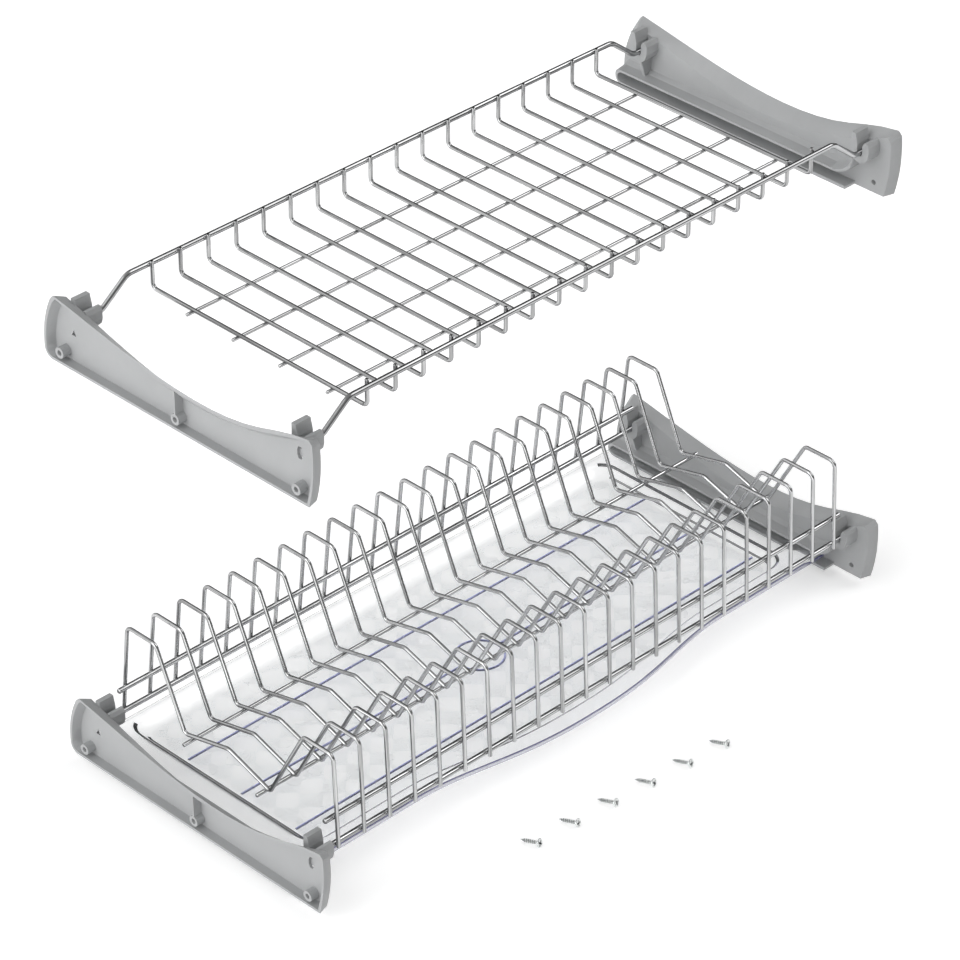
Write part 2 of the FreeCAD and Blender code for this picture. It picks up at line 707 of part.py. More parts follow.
def plate_rack():
    """The lower rack: plate wires over four long bars and two bottom rods."""
    corners = plate_wire_corners()
    loop = size("loop_corner")
    path = cut_corners(corners, [loop, loop, 0, 0, 0, loop, loop])
    nodes = bent_wires("plate_wire", WIRE_COUNT, path, PLATE_PITCH, "0")
    rail_end = "Sizes.clear_width / 2 - Sizes.plate_depth - Sizes.rail_end_gap"
    rod_end = "Sizes.clear_width / 2 - Sizes.plate_margin + Sizes.rod_overhang"
    for name, rail_y in (("plate_back_lower_rail", "Sizes.back_rail_y"),
                         ("plate_front_lower_rail", "-Sizes.front_rail_y")):
        nodes.append(bar(name, "Sizes.rail_diameter", rail_end, rail_y, "Sizes.rail_z"))
    inside = (size("rail_diameter") + size("wire_diameter")) / 2 + size("weld_gap")
    for name, foot, top, alias in (("plate_back_upper_rod", corners[0], corners[1], "back_rod_z"),
                                   ("plate_front_upper_rod", corners[8], corners[7], "front_rod_z")):
        lean = math.atan2(foot.y - top.y, top.z - foot.z)
        wire_y = top.y + (top.z - size(alias)) * math.tan(lean)
        rod_y = wire_y - math.copysign(inside / math.cos(lean), wire_y)
        nodes.append(bar(name, "Sizes.rail_diameter", rod_end, "%g" % rod_y, "Sizes." + alias))
    under = (size("rod_diameter") + size("wire_diameter")) / 2 + size("weld_gap")
    for name, first, rod_y in (("plate_bottom_rod_back", 3, size("bottom_rod_back_y")),
                               ("plate_bottom_rod_front", 4, -size("bottom_rod_front_y"))):
        slope, height_at = wire_line(corners, first)
        rod_z = height_at(rod_y) - under * math.hypot(1, slope)
        nodes.append(bar(name, "Sizes.rod_diameter", rod_end, "%g" % rod_y, "%g" % rod_z))
    return nodes


# Drip tray

def front_curve(x_half, edge_y, bulge, z):
    """Edges of the front from +x_half to -x_half: straight ends with a bulge between them."""
    reach = size("bulge_half_width")
    right = [Vector(reach * share, edge_y - bulge * rise, z) for share, rise in BULGE_SHAPE]
    left = [Vector(-point.x, point.y, z) for point in reversed(right)]
    curve = Part.BSplineCurve()
    curve.interpolate(Points=right + left, InitialTangent=INWARD, FinalTangent=INWARD)
    ends = [straight(Vector(x_half, edge_y, z), right[0]), straight(left[-1], Vector(-x_half, edge_y, z))]
    return flats(curve, BULGE_FLATS) + ends


def tray_outline(name, half, back, front, bulge, corner_size, corner_edge, z):
    """Plan outline with the bulging front; corner_edge draws each corner from start, corner and end."""
    def corner(side, y, turn):
        start = Vector(side * half, y - turn * corner_size, z)
        end = Vector(side * (half - corner_size), y, z)
        return corner_edge(start, Vector(side * half, y, z), end)

    edges = front_curve(half - corner_size, front, bulge, z)
    for side in (1, -1):
        edges += [corner(side, front, -1), corner(side, back, 1)]
        x = side * half
        edges.append(straight(Vector(x, front + corner_size, z), Vector(x, back - corner_size, z)))
    edges.append(straight(Vector(half - corner_size, back, z), Vector(corner_size - half, back, z)))
    return outline(name, edges)


def cut_corner(start, corner, end):
    """Straight edge across a corner."""
    return straight(start, end)


def basin(name, inset, high, low):
    """Basin body between two heights, drawn in by inset, with walls that lean in."""
    half = BRACKET_FACE - size("tray_side_gap") - size("side_flange") - inset
    back = size("basin_back") - inset
    front = -size("basin_front") + inset
    bulge = size("basin_bulge")
    radius = size("basin_radius") - inset
    mouth = tray_outline(name + "_mouth", half, back, front, bulge, radius, rounded_corner, high)
    floor = tray_outline(name + "_floor", half - size("side_draft"), back - size("back_draft"),
                         front + size("front_draft"), bulge, radius, rounded_corner, low)
    return loft(name, [mouth, floor])


def box(name, low, high):
    """Box between two corner points."""
    feature = doc.addObject("Part::Box", name)
    feature.Length, feature.Width, feature.Height = tuple(high - low)
    feature.Placement.Base = low
    return feature


def drip_tray():
    """Clear tray: flange with turned-down runners, basin, floor ribs and a ring."""
    half = BRACKET_FACE - size("tray_side_gap")
    back = GROOVE_BACK - size("tray_back_gap")
    flange_z = size("tray_flange_z")
    sheet_t = size("tray_sheet")
    top = flange_z + sheet_t
    floor_top = size("tray_floor_z") + sheet_t
    front = -size("tray_front")
    bulge = size("tray_bulge")
    plan = tray_outline("tray_flange_outline", half, back, front, bulge,
                        size("tray_corner"), cut_corner, flange_z)
    flange = extrusion("tray_flange", plan, Vector(0, 0, 1), "Sizes.tray_sheet")
    pieces = [flange, basin("tray_basin_outside", 0, top, size("tray_floor_z"))]
    runner_low = size("lip_thickness") + size("tray_lift")
    for side, sign in (("left", -1), ("right", 1)):
        xs = sorted((sign * half, sign * (half - size("tray_runner"))))
        inset = size("runner_inset")
        pieces.append(box("tray_%s_runner" % side, Vector(xs[0], front + inset, runner_low),
                          Vector(xs[1], back - inset, flange_z + EMBED)))
    pieces.append(tray_front_lip(half - size("front_lip_inset"), front, top - EMBED))
    hollow = basin("tray_basin_inside", sheet_t, top + EMBED, floor_top)
    bowl = cut("tray_bowl", fusion("tray_blank", pieces), hollow)
    return fusion("drip_tray", [bowl] + tray_floor_ribs(floor_top))


def tray_front_lip(end, front, z):
    """Low lip along the front edge, raised from height z."""
    inner = front + size("front_lip")
    bulge = size("tray_bulge")
    edges = front_curve(end, front, bulge, z) + front_curve(end, inner, bulge, z)
    edges += [straight(Vector(x, front, z), Vector(x, inner, z)) for x in (end, -end)]
    return extrusion("tray_front_lip", outline("tray_front_lip_outline", edges), Vector(0, 0, 1),
                     "Sizes.front_lip + %g" % EMBED)


def tray_floor_ribs(floor_top):
    """Three ribs along the floor and a ring that interrupts the middle one."""
    width = size("floor_rib_width")
    low = floor_top - EMBED
    high = floor_top + size("floor_rib_height")
    half = BRACKET_FACE - size("tray_side_gap") - size("side_flange")
    end = half - size("side_draft") - 2 * size("tray_sheet")
    ring_out = size("ring_radius") + width / 2
    ribs = []
    for index in (-1, 0, 1):
        y = size("floor_rib_y") + index * size("floor_rib_pitch")
        spans = [(-end, -ring_out + EMBED), (ring_out - EMBED, end)] if index == 0 else [(-end, end)]
        for start, stop in spans:
            ribs.append(box("tray_rib_%d" % (len(ribs) + 1), Vector(start, y - width / 2, low),
                            Vector(stop, y + width / 2, high)))
    rings = []
    for name, diameter in (("outer", "Sizes.ring_radius * 2 + Sizes.floor_rib_width"),
                           ("inner", "Sizes.ring_radius * 2 - Sizes.floor_rib_width")):
        ring = prism("tray_ring_" + name, RING_SIDES, diameter, "Sizes.floor_rib_height + %g" % EMBED,
                     FreeCAD.Rotation())
        ring.Placement.Base = Vector(0, 0, low)
        rings.append(bind(ring, Placement__Base__y="Sizes.floor_rib_y"))
    ribs.append(cut("tray_ring", rings[0], rings[1]))
    return ribs


# Loose screws

def screw(name):
    """Countersunk screw, tip at the origin, axis along Z, as a loft through flat-sided rings."""
    length = size("screw_length")
    neck = length - size("screw_head_height")
    shank = "Sizes.screw_diameter / 2"
    head = "Sizes.screw_head / 2"
    rings = []
    for radius, z in (("Sizes.screw_tip / 2", 0), (shank, size("screw_point")), (shank, neck),
                      (head, length - size("screw_head_edge")), (head, length)):
        ring = doc.addObject("Part::RegularPolygon", "%s_ring_%d" % (name, len(rings) + 1))
        ring.Polygon = WIRE_SIDES
        ring.Placement.Base = Vector(0, 0, z)
        rings.append(bind(ring, Circumradius=radius))
    return loft(name, rings)


def screws():
    """Six countersunk screws that lie side by side before the rack, heads to the front."""
    neck = size("screw_length") - size("screw_head_height")
    overhang = (size("screw_head") - size("screw_diameter")) / 2
    tilt = math.degrees(math.atan2(overhang, neck - size("screw_point")))
    rest = size("screw_rest_z") + size("screw_diameter") / 2
    lay = FreeCAD.Rotation(Vector(1, 0, 0), 90 - tilt)
    turn = FreeCAD.Rotation(Vector(0, 0, 1), size("screw_turn"))
    pieces = []
    for index in range(SCREW_COUNT):
        piece = screw("screw_%d" % (index + 1))
        place = Vector(size("screw_first_x") - index * size("screw_step_x"),
                       -size("screw_first_y") + index * size("screw_step_y"), rest)
        piece.Placement = FreeCAD.Placement(place, turn * lay)
        pieces.append(piece)
    group = doc.addObject("Part::Compound", "screws")
    group.Links = pieces
    return group


# The whole rack

def build():
    """Build every sub-part and return the features that become nodes."""
    nodes = []
    for level, height in (("lower", "0"), ("upper", "Sizes.level_gap")):
        right = right_bracket(level + "_right_bracket", height)
        nodes += [right, mirrored(level + "_left_bracket", right)]
    nodes += glass_shelf()
    nodes += plate_rack()
    nodes += [drip_tray(), screws()]
    return nodes


NODES = build()
doc.recompute()

for feature in doc.Objects:
    if "Invalid" in feature.State or "Error" in feature.State:
        raise RuntimeError("%s failed: %s" % (feature.Name, feature.State))

os.makedirs("parts", exist_ok=True)
for node in NODES:
    node.Label = node.Name
    shape = node.Shape
    wanted = SCREW_COUNT if node.Name == "screws" else 1
    if shape.isNull() or not shape.isValid() or len(shape.Solids) != wanted:
        raise RuntimeError("%s is not a sound solid" % node.Name)
for node in NODES:
    node.Shape.exportStep("parts/%s.step" % node.Label)
print("%d sub-parts written" % len(NODES))
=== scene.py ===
"""Cabinet dish rack: wire glass shelf above, looped plate rack below, moulded brackets and a clear tray."""
import math

import bpy
from mathutils import Matrix, Vector
from mathutils.geometry import delaunay_2d_cdt


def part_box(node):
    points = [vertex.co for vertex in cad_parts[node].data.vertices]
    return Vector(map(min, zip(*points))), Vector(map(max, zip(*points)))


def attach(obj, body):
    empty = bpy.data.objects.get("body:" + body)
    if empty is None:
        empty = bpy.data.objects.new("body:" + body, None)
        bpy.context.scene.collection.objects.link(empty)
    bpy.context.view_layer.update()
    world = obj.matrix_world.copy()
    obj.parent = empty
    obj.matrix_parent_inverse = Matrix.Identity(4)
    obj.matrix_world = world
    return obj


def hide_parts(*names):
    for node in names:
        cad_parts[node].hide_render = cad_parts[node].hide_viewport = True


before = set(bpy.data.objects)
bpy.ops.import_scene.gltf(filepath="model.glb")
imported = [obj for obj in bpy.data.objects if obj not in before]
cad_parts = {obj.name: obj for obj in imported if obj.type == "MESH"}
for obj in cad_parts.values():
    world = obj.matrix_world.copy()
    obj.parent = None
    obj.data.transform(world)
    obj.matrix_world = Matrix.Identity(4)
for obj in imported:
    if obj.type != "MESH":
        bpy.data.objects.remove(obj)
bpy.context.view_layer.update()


# Side brackets: four injection mouldings in satin grey plastic, open towards the cabinet
# wall. Their walls are thin, every edge is slightly round, and the skin has a fine spark
# texture with faint flow marks from the mould. Three screws hold each one to the wall.

MM = 0.001
SEAM_GAP = 0.005 * MM
EDGE_RADIUS = 0.45 * MM
EDGE_ANGLE = math.radians(38)
PLASTIC_DARK = (0.375, 0.382, 0.387, 1)
PLASTIC_LIGHT = (0.415, 0.422, 0.427, 1)


def new_material(name):
    """Empty node material; returns the material, its nodes and its links."""
    material = bpy.data.materials.new(name)
    material.use_nodes = True
    material.node_tree.nodes.clear()
    return material, material.node_tree.nodes, material.node_tree.links


def add(nodes, kind, **inputs):
    """Add a node and set inputs by name; an underscore stands for a space."""
    node = nodes.new(kind)
    for key, value in inputs.items():
        node.inputs[key.replace("_", " ")].default_value = value
    return node


def noise(nodes, links, vector, scale, detail=3.0, roughness=0.5):
    """Noise over a coordinate output."""
    node = add(nodes, "ShaderNodeTexNoise", Scale=scale, Detail=detail, Roughness=roughness)
    links.new(vector, node.inputs["Vector"])
    return node.outputs["Fac"]


def ramp(nodes, links, source, stops):
    """Map a value to colours or greys at the given positions."""
    node = nodes.new("ShaderNodeValToRGB")
    band = node.color_ramp
    while len(band.elements) < len(stops):
        band.elements.new(0.5)
    for element, (position, colour) in zip(band.elements, stops):
        element.position = position
        element.color = colour if isinstance(colour, tuple) else (colour, colour, colour, 1)
    links.new(source, node.inputs["Fac"])
    return node.outputs["Color"]


def bump(nodes, links, height, strength, distance):
    """Normal with a small relief."""
    node = add(nodes, "ShaderNodeBump", Strength=strength, Distance=distance)
    links.new(height, node.inputs["Height"])
    return node.outputs["Normal"]


def connect_output(nodes, links, shader):
    """Send a shader output to the surface."""
    output = nodes.new("ShaderNodeOutputMaterial")
    links.new(shader, output.inputs["Surface"])


def moulded_plastic():
    """Satin grey plastic."""
    material, nodes, links = new_material("moulded_grey_plastic")
    place = nodes.new("ShaderNodeTexCoord").outputs["Object"]
    shader = add(nodes, "ShaderNodeBsdfPrincipled", Specular_IOR_Level=0.5)
    flow = noise(nodes, links, place, 24.0, 5.0, 0.6)
    tone = ramp(nodes, links, flow, ((0.3, PLASTIC_DARK), (0.7, PLASTIC_LIGHT)))
    links.new(tone, shader.inputs["Base Color"])
    links.new(ramp(nodes, links, flow, ((0.3, 0.38), (0.7, 0.50))), shader.inputs["Roughness"])
    grain = noise(nodes, links, place, 2400.0, 2.0)
    links.new(bump(nodes, links, grain, 0.15, 0.05 * MM), shader.inputs["Normal"])
    connect_output(nodes, links, shader.outputs["BSDF"])
    return material


plastic = moulded_plastic()
for name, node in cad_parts.items():
    if name.endswith("_bracket"):
        node.data.materials.clear()
        node.data.materials.append(plastic)
        weld = node.modifiers.new("weld", "WELD")
        weld.merge_threshold = SEAM_GAP
        edge = node.modifiers.new("edge", "BEVEL")
        edge.width = EDGE_RADIUS
        edge.segments = 2
        edge.limit_method = "ANGLE"
        edge.angle_limit = EDGE_ANGLE
        edge.harden_normals = True


# Plate rack: 22 looped plate wires of 3 mm plated steel wire, spot welded outside two 4 mm
# rails and inside two 4 mm rods, with two 3 mm rods under their valleys. The wires are bent
# cold, cut square at their feet and plated bright, with fine lengthwise drawing lines.

RAIL_R = 2.0 * MM
RAIL_Z = 35 * MM
RAIL_END = 272 * MM
WIRE_R = 1.5 * MM
BACK_Y = 102 * MM
FRONT_Y = -111 * MM
WELD_BITE = 0.25 * MM
WELD_OFFSET = RAIL_R + WIRE_R - WELD_BITE
PLATE_COUNT = 22
PLATE_PITCH = 24 * MM
ROD_END = 261 * MM
ROD_BITE = 0.3 * MM
LOOP_TOP = 108 * MM
BACK_TOP_Y = 97 * MM
FRONT_TOP_Y = -111 * MM
FOOT_Z = RAIL_Z - 2.5 * MM
PLATE_RADII = [5.5 * MM, 5 * MM, 4.5 * MM, 8 * MM, 3 * MM, 5 * MM, 5.5 * MM]
LEG_BEAD = 1.25 * MM
ROD_BEAD = 1.2 * MM
BEAD_SIDES = 10
BEAD_LEVELS = 5
GRAIN_PER_METRE = 9.0
PLATED_TINT = (0.42, 0.42, 0.43, 1)
PLATED_LEVELS = (0.28, 0.43, 0.62)
COOL_SHARES = (1, 1.007, 1.014)


def plated_wire(name, gain):
    """Bright plating over drawn steel wire, streaked along its length; gain scales its tones."""
    material, nodes, links = new_material(name)
    grain = nodes.new("ShaderNodeAttribute")
    grain.attribute_name = "grain"
    place = nodes.new("ShaderNodeTexCoord").outputs["Object"]
    shader = add(nodes, "ShaderNodeBsdfPrincipled", Metallic=1.0, Specular_Tint=PLATED_TINT)
    lines = noise(nodes, links, grain.outputs["Vector"], 1.3, 3.0, 0.62)
    tones = [tuple(gain * level * share for share in COOL_SHARES) + (1,) for level in PLATED_LEVELS]
    tone = ramp(nodes, links, lines, list(zip((0.36, 0.50, 0.64), tones)))
    links.new(tone, shader.inputs["Base Color"])
    cloud = noise(nodes, links, place, 90.0, 3.0)
    links.new(ramp(nodes, links, cloud, ((0.3, 0.10), (0.7, 0.18))), shader.inputs["Roughness"])
    links.new(bump(nodes, links, lines, 0.2, 0.02 * MM), shader.inputs["Normal"])
    connect_output(nodes, links, shader.outputs["BSDF"])
    return material


def mesh_piece(name, verts, faces, material, sharp=None):
    """Smooth-shaded mesh object; edges over the sharp angle in degrees stay crisp."""
    mesh = bpy.data.meshes.new(name)
    mesh.from_pydata([tuple(v) for v in verts], [], faces)
    mesh.materials.append(material)
    mesh.update()
    for polygon in mesh.polygons:
        polygon.use_smooth = True
    if sharp:
        mesh.set_sharp_from_angle(angle=math.radians(sharp))
    piece = bpy.data.objects.new(name, mesh)
    bpy.context.collection.objects.link(piece)
    return piece


def point_values(piece, name, kind, field, values):
    """Give every point of a piece a value that its material reads."""
    attribute = piece.data.attributes.new(name, kind, "POINT")
    for item, value in zip(attribute.data, values):
        setattr(item, field, value)


def ring_quads(count, levels):
    """Quads between following rings of count points each."""
    faces = []
    for level in range(levels - 1):
        for k in range(count):
            low = level * count
            following = (k + 1) % count
            faces.append((low + k, low + following, low + count + following, low + count + k))
    return faces


def evenly(count, pitch):
    """Places in a row about the middle."""
    return [(index - (count - 1) / 2) * pitch for index in range(count)]


def rounded_path(corners, radii, step=math.radians(8)):
    """Points along straight runs, with an arc of the given radius at each inner corner."""
    path = [corners[0]]
    for before, corner, after, radius in zip(corners, corners[1:], corners[2:], radii):
        come = (corner - before).normalized()
        leave = (after - corner).normalized()
        turn = come.angle(leave)
        reach = radius * math.tan(turn / 2)
        reach = min(reach, 0.48 * (corner - before).length, 0.48 * (after - corner).length)
        start = corner - come * reach
        centre = corner + (leave - come).normalized() * (reach / math.sin(turn / 2))
        axis = come.cross(leave).normalized()
        count = max(3, int(turn / step))
        for index in range(count + 1):
            path.append(centre + Matrix.Rotation(turn * index / count, 3, axis) @ (start - centre))
    path.append(corners[-1])
    return path


def tube(path, radius, normal, sides=16):
    """Tube along a flat path with chamfered cut ends: its points, its faces and their lengthwise grain."""
    first = (path[1] - path[0]).normalized()
    last = (path[-1] - path[-2]).normalized()
    chamfer = 0.3 * radius
    rings = [(path[0], first, radius - chamfer), (path[0] + first * chamfer, first, radius)]
    for before, point, after in zip(path, path[1:], path[2:]):
        tangent = ((point - before).normalized() + (after - point).normalized()).normalized()
        rings.append((point, tangent, radius))
    rings += [(path[-1] - last * chamfer, last, radius), (path[-1], last, radius - chamfer)]
    verts = []
    grain = []
    along = path[0].x * 37.0 + path[0].y * 11.0
    previous = path[0]
    for point, tangent, size in rings:
        side = tangent.cross(normal).normalized()
        along += (point - previous).length * GRAIN_PER_METRE
        previous = point
        for k in range(sides):
            angle = 2 * math.pi * k / sides
            verts.append(point + (side * math.cos(angle) + normal * math.sin(angle)) * size)
            grain.append((math.cos(angle), math.sin(angle), along))
    faces = [tuple(reversed(range(sides)))] + ring_quads(sides, len(rings))
    faces.append(tuple(range(len(verts) - sides, len(verts))))
    return verts, faces, grain


def wire(node, corners, radii, radius, normal, plating, body):
    """One bent wire that stands for the solid of the same name."""
    verts, faces, grain = tube(rounded_path(corners, radii), radius, normal)
    piece = mesh_piece(node + "_plated", verts, faces, plating, 40)
    point_values(piece, "grain", "FLOAT_VECTOR", "vector", grain)
    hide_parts(node)
    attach(piece, body)


def weld_beads(name, places, plating, body):
    """Small squeezed-out beads where wires are spot welded; places are centre, axis and size."""
    verts = []
    faces = []
    grain = []
    for centre, axis, size in places:
        turn = axis.to_track_quat("Z", "Y").to_matrix()
        start = len(verts)
        for level in range(BEAD_LEVELS + 1):
            fall = math.pi * level / BEAD_LEVELS
            for k in range(BEAD_SIDES):
                angle = 2 * math.pi * k / BEAD_SIDES
                local = Vector((math.sin(fall) * math.cos(angle), math.sin(fall) * math.sin(angle),
                                0.75 * math.cos(fall)))
                verts.append(centre + turn @ local * size)
                grain.append((local.x, local.y, local.z))
        for level in range(BEAD_LEVELS):
            for k in range(BEAD_SIDES):
                low = start + level * BEAD_SIDES
                high = low + BEAD_SIDES
                following = (k + 1) % BEAD_SIDES
                faces.append((low + k, high + k, high + following, low + following))
    piece = mesh_piece(name, verts, faces, plating)
    point_values(piece, "grain", "FLOAT_VECTOR", "vector", grain)
    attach(piece, body)


def outer_leg(rail_y, top_y):
    """Y of an outer leg at its foot and at the lower rail, which it passes at the welding distance."""
    lean = math.atan2(abs(rail_y) + WELD_OFFSET - abs(top_y), LOOP_TOP - RAIL_Z)
    at_rail = abs(rail_y) + WELD_OFFSET / math.cos(lean)
    slope = (at_rail - abs(top_y)) / (LOOP_TOP - RAIL_Z)
    return math.copysign(at_rail + slope * (RAIL_Z - FOOT_Z), rail_y), math.copysign(at_rail, rail_y)


def centre_of(node):
    """Middle of a solid."""
    low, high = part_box(node)
    return (Vector(low) + Vector(high)) / 2


# Painted light: the plate rack gets the shelf's plating painted a tenth lighter, for the light its legs
# catch.
plate_plating_painted_lighter = plated_wire("plated_wire_painted_lighter", 1.1)
back_foot, back_leg = outer_leg(BACK_Y, BACK_TOP_Y)
front_foot, front_leg = outer_leg(FRONT_Y, FRONT_TOP_Y)
plate_profile = [(back_foot, FOOT_Z), (BACK_TOP_Y, LOOP_TOP), (67.5 * MM, LOOP_TOP), (40 * MM, 46 * MM),
                 (-5 * MM, 57 * MM), (-47 * MM, 43.5 * MM), (-82 * MM, LOOP_TOP), (FRONT_TOP_Y, LOOP_TOP),
                 (front_foot, FOOT_Z)]
beads = []
for number, x in enumerate(evenly(PLATE_COUNT, PLATE_PITCH), 1):
    wire("plate_wire_%02d" % number, [Vector((x, y, z)) for y, z in plate_profile], PLATE_RADII,
         WIRE_R, Vector((1, 0, 0)), plate_plating_painted_lighter, "plate_rack")
    for rail_y, leg_y in ((BACK_Y, back_leg), (FRONT_Y, front_leg)):
        middle = rail_y + (leg_y - rail_y) * 0.55
        beads.append((Vector((x, middle, RAIL_Z)), Vector((0, 1, 0)), LEG_BEAD))
for name, end, radius, away in (
        ("plate_back_lower_rail", RAIL_END, RAIL_R, None),
        ("plate_front_lower_rail", RAIL_END, RAIL_R, None),
        ("plate_back_upper_rod", ROD_END, RAIL_R, Vector((0, 1, 0))),
        ("plate_front_upper_rod", ROD_END, RAIL_R, Vector((0, -1, 0))),
        ("plate_bottom_rod_back", ROD_END, WIRE_R, Vector((0, 0, 1))),
        ("plate_bottom_rod_front", ROD_END, WIRE_R, Vector((0, 0, 1)))):
    middle = centre_of(name)
    if away:
        middle += away * ROD_BITE
    ends = [Vector((-end, middle.y, middle.z)), Vector((end, middle.y, middle.z))]
    wire(name, ends, [], radius, Vector((0, 1, 0)), plate_plating_painted_lighter, "plate_rack")
    if away:
        for x in evenly(PLATE_COUNT, PLATE_PITCH):
            beads.append((Vector((x, middle.y, middle.z)) + away * radius, away, ROD_BEAD))
weld_beads("plate_rack_welds", beads, plate_plating_painted_lighter, "plate_rack")


# Glass shelf: two 4 mm rails cranked up out of their clips, 18 cross wires of 3 mm bent into
# flat troughs with hooked ends, and four thin wires welded under them. The cross wires are
# welded to the inner sides of the rails. Its plating has the plain tone; the plate rack's copy
# of the same plating is painted a shade lighter for the light its legs catch.

LEVEL_GAP = 328 * MM
GLASS_COUNT = 18
GLASS_PITCH = 25 * MM
CRANK_OUTER = 255 * MM
CRANK_INNER = 231.5 * MM
CRANK_RADII = [9 * MM, 11 * MM, 11 * MM, 9 * MM]
SHELF_CLIP_Z = LEVEL_GAP + RAIL_Z
SHELF_RAIL_Z = SHELF_CLIP_Z + 18 * MM
SHELF_FLOOR_Z = LEVEL_GAP + 36 * MM
HOOK_Z = SHELF_RAIL_Z + 3.5 * MM
HOOK_RADIUS = 4 * MM
THIN_R = 1.25 * MM
RAIL_BEAD = 1.3 * MM
THIN_BEAD = 0.9 * MM

shelf_plating = plated_wire("plated_shelf_wire", 1.0)
for name, y in (("glass_back_rail", BACK_Y), ("glass_front_rail", FRONT_Y)):
    corners = [Vector((x, y, z)) for x, z in (
        (-RAIL_END, SHELF_CLIP_Z), (-CRANK_OUTER, SHELF_CLIP_Z), (-CRANK_INNER, SHELF_RAIL_Z),
        (CRANK_INNER, SHELF_RAIL_Z), (CRANK_OUTER, SHELF_CLIP_Z), (RAIL_END, SHELF_CLIP_Z))]
    wire(name, corners, CRANK_RADII, RAIL_R, Vector((0, 1, 0)), shelf_plating, "glass_shelf")
shelf_profile = [(BACK_Y - WELD_OFFSET, HOOK_Z), (BACK_Y - WELD_OFFSET, SHELF_FLOOR_Z),
                 (FRONT_Y + WELD_OFFSET, SHELF_FLOOR_Z), (FRONT_Y + WELD_OFFSET, HOOK_Z)]
beads = []
for number, x in enumerate(evenly(GLASS_COUNT, GLASS_PITCH), 1):
    wire("glass_cross_wire_%02d" % number, [Vector((x, y, z)) for y, z in shelf_profile],
         [HOOK_RADIUS, HOOK_RADIUS], WIRE_R, Vector((1, 0, 0)), shelf_plating, "glass_shelf")
    for y, inward in ((BACK_Y, -1), (FRONT_Y, 1)):
        beads.append((Vector((x, y + inward * RAIL_R, SHELF_RAIL_Z)), Vector((0, 1, 0)), RAIL_BEAD))
for number in range(1, 5):
    name = "glass_long_wire_%d" % number
    low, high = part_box(name)
    middle = centre_of(name)
    ends = [Vector((low[0], middle.y, middle.z)), Vector((high[0], middle.y, middle.z))]
    wire(name, ends, [], THIN_R, Vector((0, 1, 0)), shelf_plating, "glass_shelf")
    for x in evenly(GLASS_COUNT, GLASS_PITCH):
        beads.append((Vector((x, middle.y, middle.z + THIN_R)), Vector((0, 0, 1)), THIN_BEAD))
weld_beads("glass_shelf_welds", beads, shelf_plating, "glass_shelf")


# Drip tray: one clear polystyrene moulding, 2 mm thick. A flat flange with turned-down sides
# runs in the brackets, its front swings out in a wave with a low lip, and the floor of the
# shallow basin has low diamond cells, three ribs and a ring that catch blue light.

SHEET = 2 * MM
FLANGE_HALF = 271.5 * MM
FLANGE_BACK = 121.5 * MM
FLANGE_FRONT = -92 * MM
FLANGE_TOP = 9 * MM
FLANGE_CORNER = 5 * MM
BULGE = 18 * MM
BULGE_HALF = 155 * MM
RUNNER_LOW = 2.8 * MM
LIP_RISE = 1.5 * MM
LIP_END = 250 * MM
BASIN_HALF = 244.5 * MM
BASIN_BACK = 117 * MM
BASIN_FRONT = -78 * MM
BASIN_BULGE = 17.1 * MM
BASIN_CORNER = 16 * MM
BASIN_LOW = 0.6 * MM
FLOOR_TOP = BASIN_LOW + SHEET
BACK_RIB = 60 * MM
MIDDLE_RIB = 4.5 * MM
FRONT_RIB = -51 * MM
RIB_END = BASIN_HALF - 11 * MM
RING_R = 18.5 * MM
RING_SIDES = 64
RIB_HALF = 0.9 * MM
RIB_RISE = 1.1 * MM
CELL_SPACING = 16 * MM
CELL_RISE = 0.3 * MM
CELL_MARGIN = 5 * MM
CLEAR_TINT = (0.985, 0.99, 0.992, 1)
# Painted shade: the darker tint of every second diamond cell on the tray's floor.
CELL_PAINTED_SHADE = (0.90, 0.91, 0.915, 1)
RIB_TINT = (0.50, 0.52, 0.83, 1)
# Painted shade and light on the tray's edges: dark blue at the lip, violet at the bends and pale grey on the
# front walls stand in for the lines refraction and reflection draw at a clear moulding's edges, and the
# near-black side film paints the shadow in the side grooves.
PAINTED_EDGE_FILMS = (
    ("lip", (0.10, 0.10, 0.22, 1), (0.16, 0.16, 0.32, 1), 0.85),
    ("wall", (0.62, 0.63, 0.68, 1), (0.80, 0.81, 0.84, 1), 0.20),
    ("bend", (0.30, 0.30, 0.48, 1), (0.38, 0.38, 0.58, 1), 0.45),
    ("side", (0.05, 0.055, 0.06, 1), (0.12, 0.125, 0.13, 1), 0.75),
)
CLEAR_SLOT, CELL_SHADE_SLOT, LIP_SLOT, WALL_SLOT, BEND_SLOT, SIDE_SHADOW_SLOT = range(6)
# The bands of the skin count from under the floor, out over the rim and down the inner wall.
FRONT_SHADE_SLOTS = {3: WALL_SLOT, 4: WALL_SLOT, 5: WALL_SLOT, 10: BEND_SLOT, 11: LIP_SLOT, 12: LIP_SLOT,
               13: LIP_SLOT, 17: BEND_SLOT, 18: BEND_SLOT, 19: WALL_SLOT, 20: WALL_SLOT}
SIDE_SHADOW_BANDS = (17, 18, 21)


def let_lamps_through(nodes, links, shader, tint):
    """Turn a shader clear for shadow rays, so that light reaches what lies under the plastic."""
    clear_way = add(nodes, "ShaderNodeBsdfTransparent", Color=tuple(0.97 * c for c in tint[:3]) + (1,))
    path = nodes.new("ShaderNodeLightPath")
    mix = nodes.new("ShaderNodeMixShader")
    links.new(path.outputs["Is Shadow Ray"], mix.inputs["Fac"])
    links.new(shader.outputs["BSDF"], mix.inputs[1])
    links.new(clear_way.outputs["BSDF"], mix.inputs[2])
    connect_output(nodes, links, mix.outputs["Shader"])


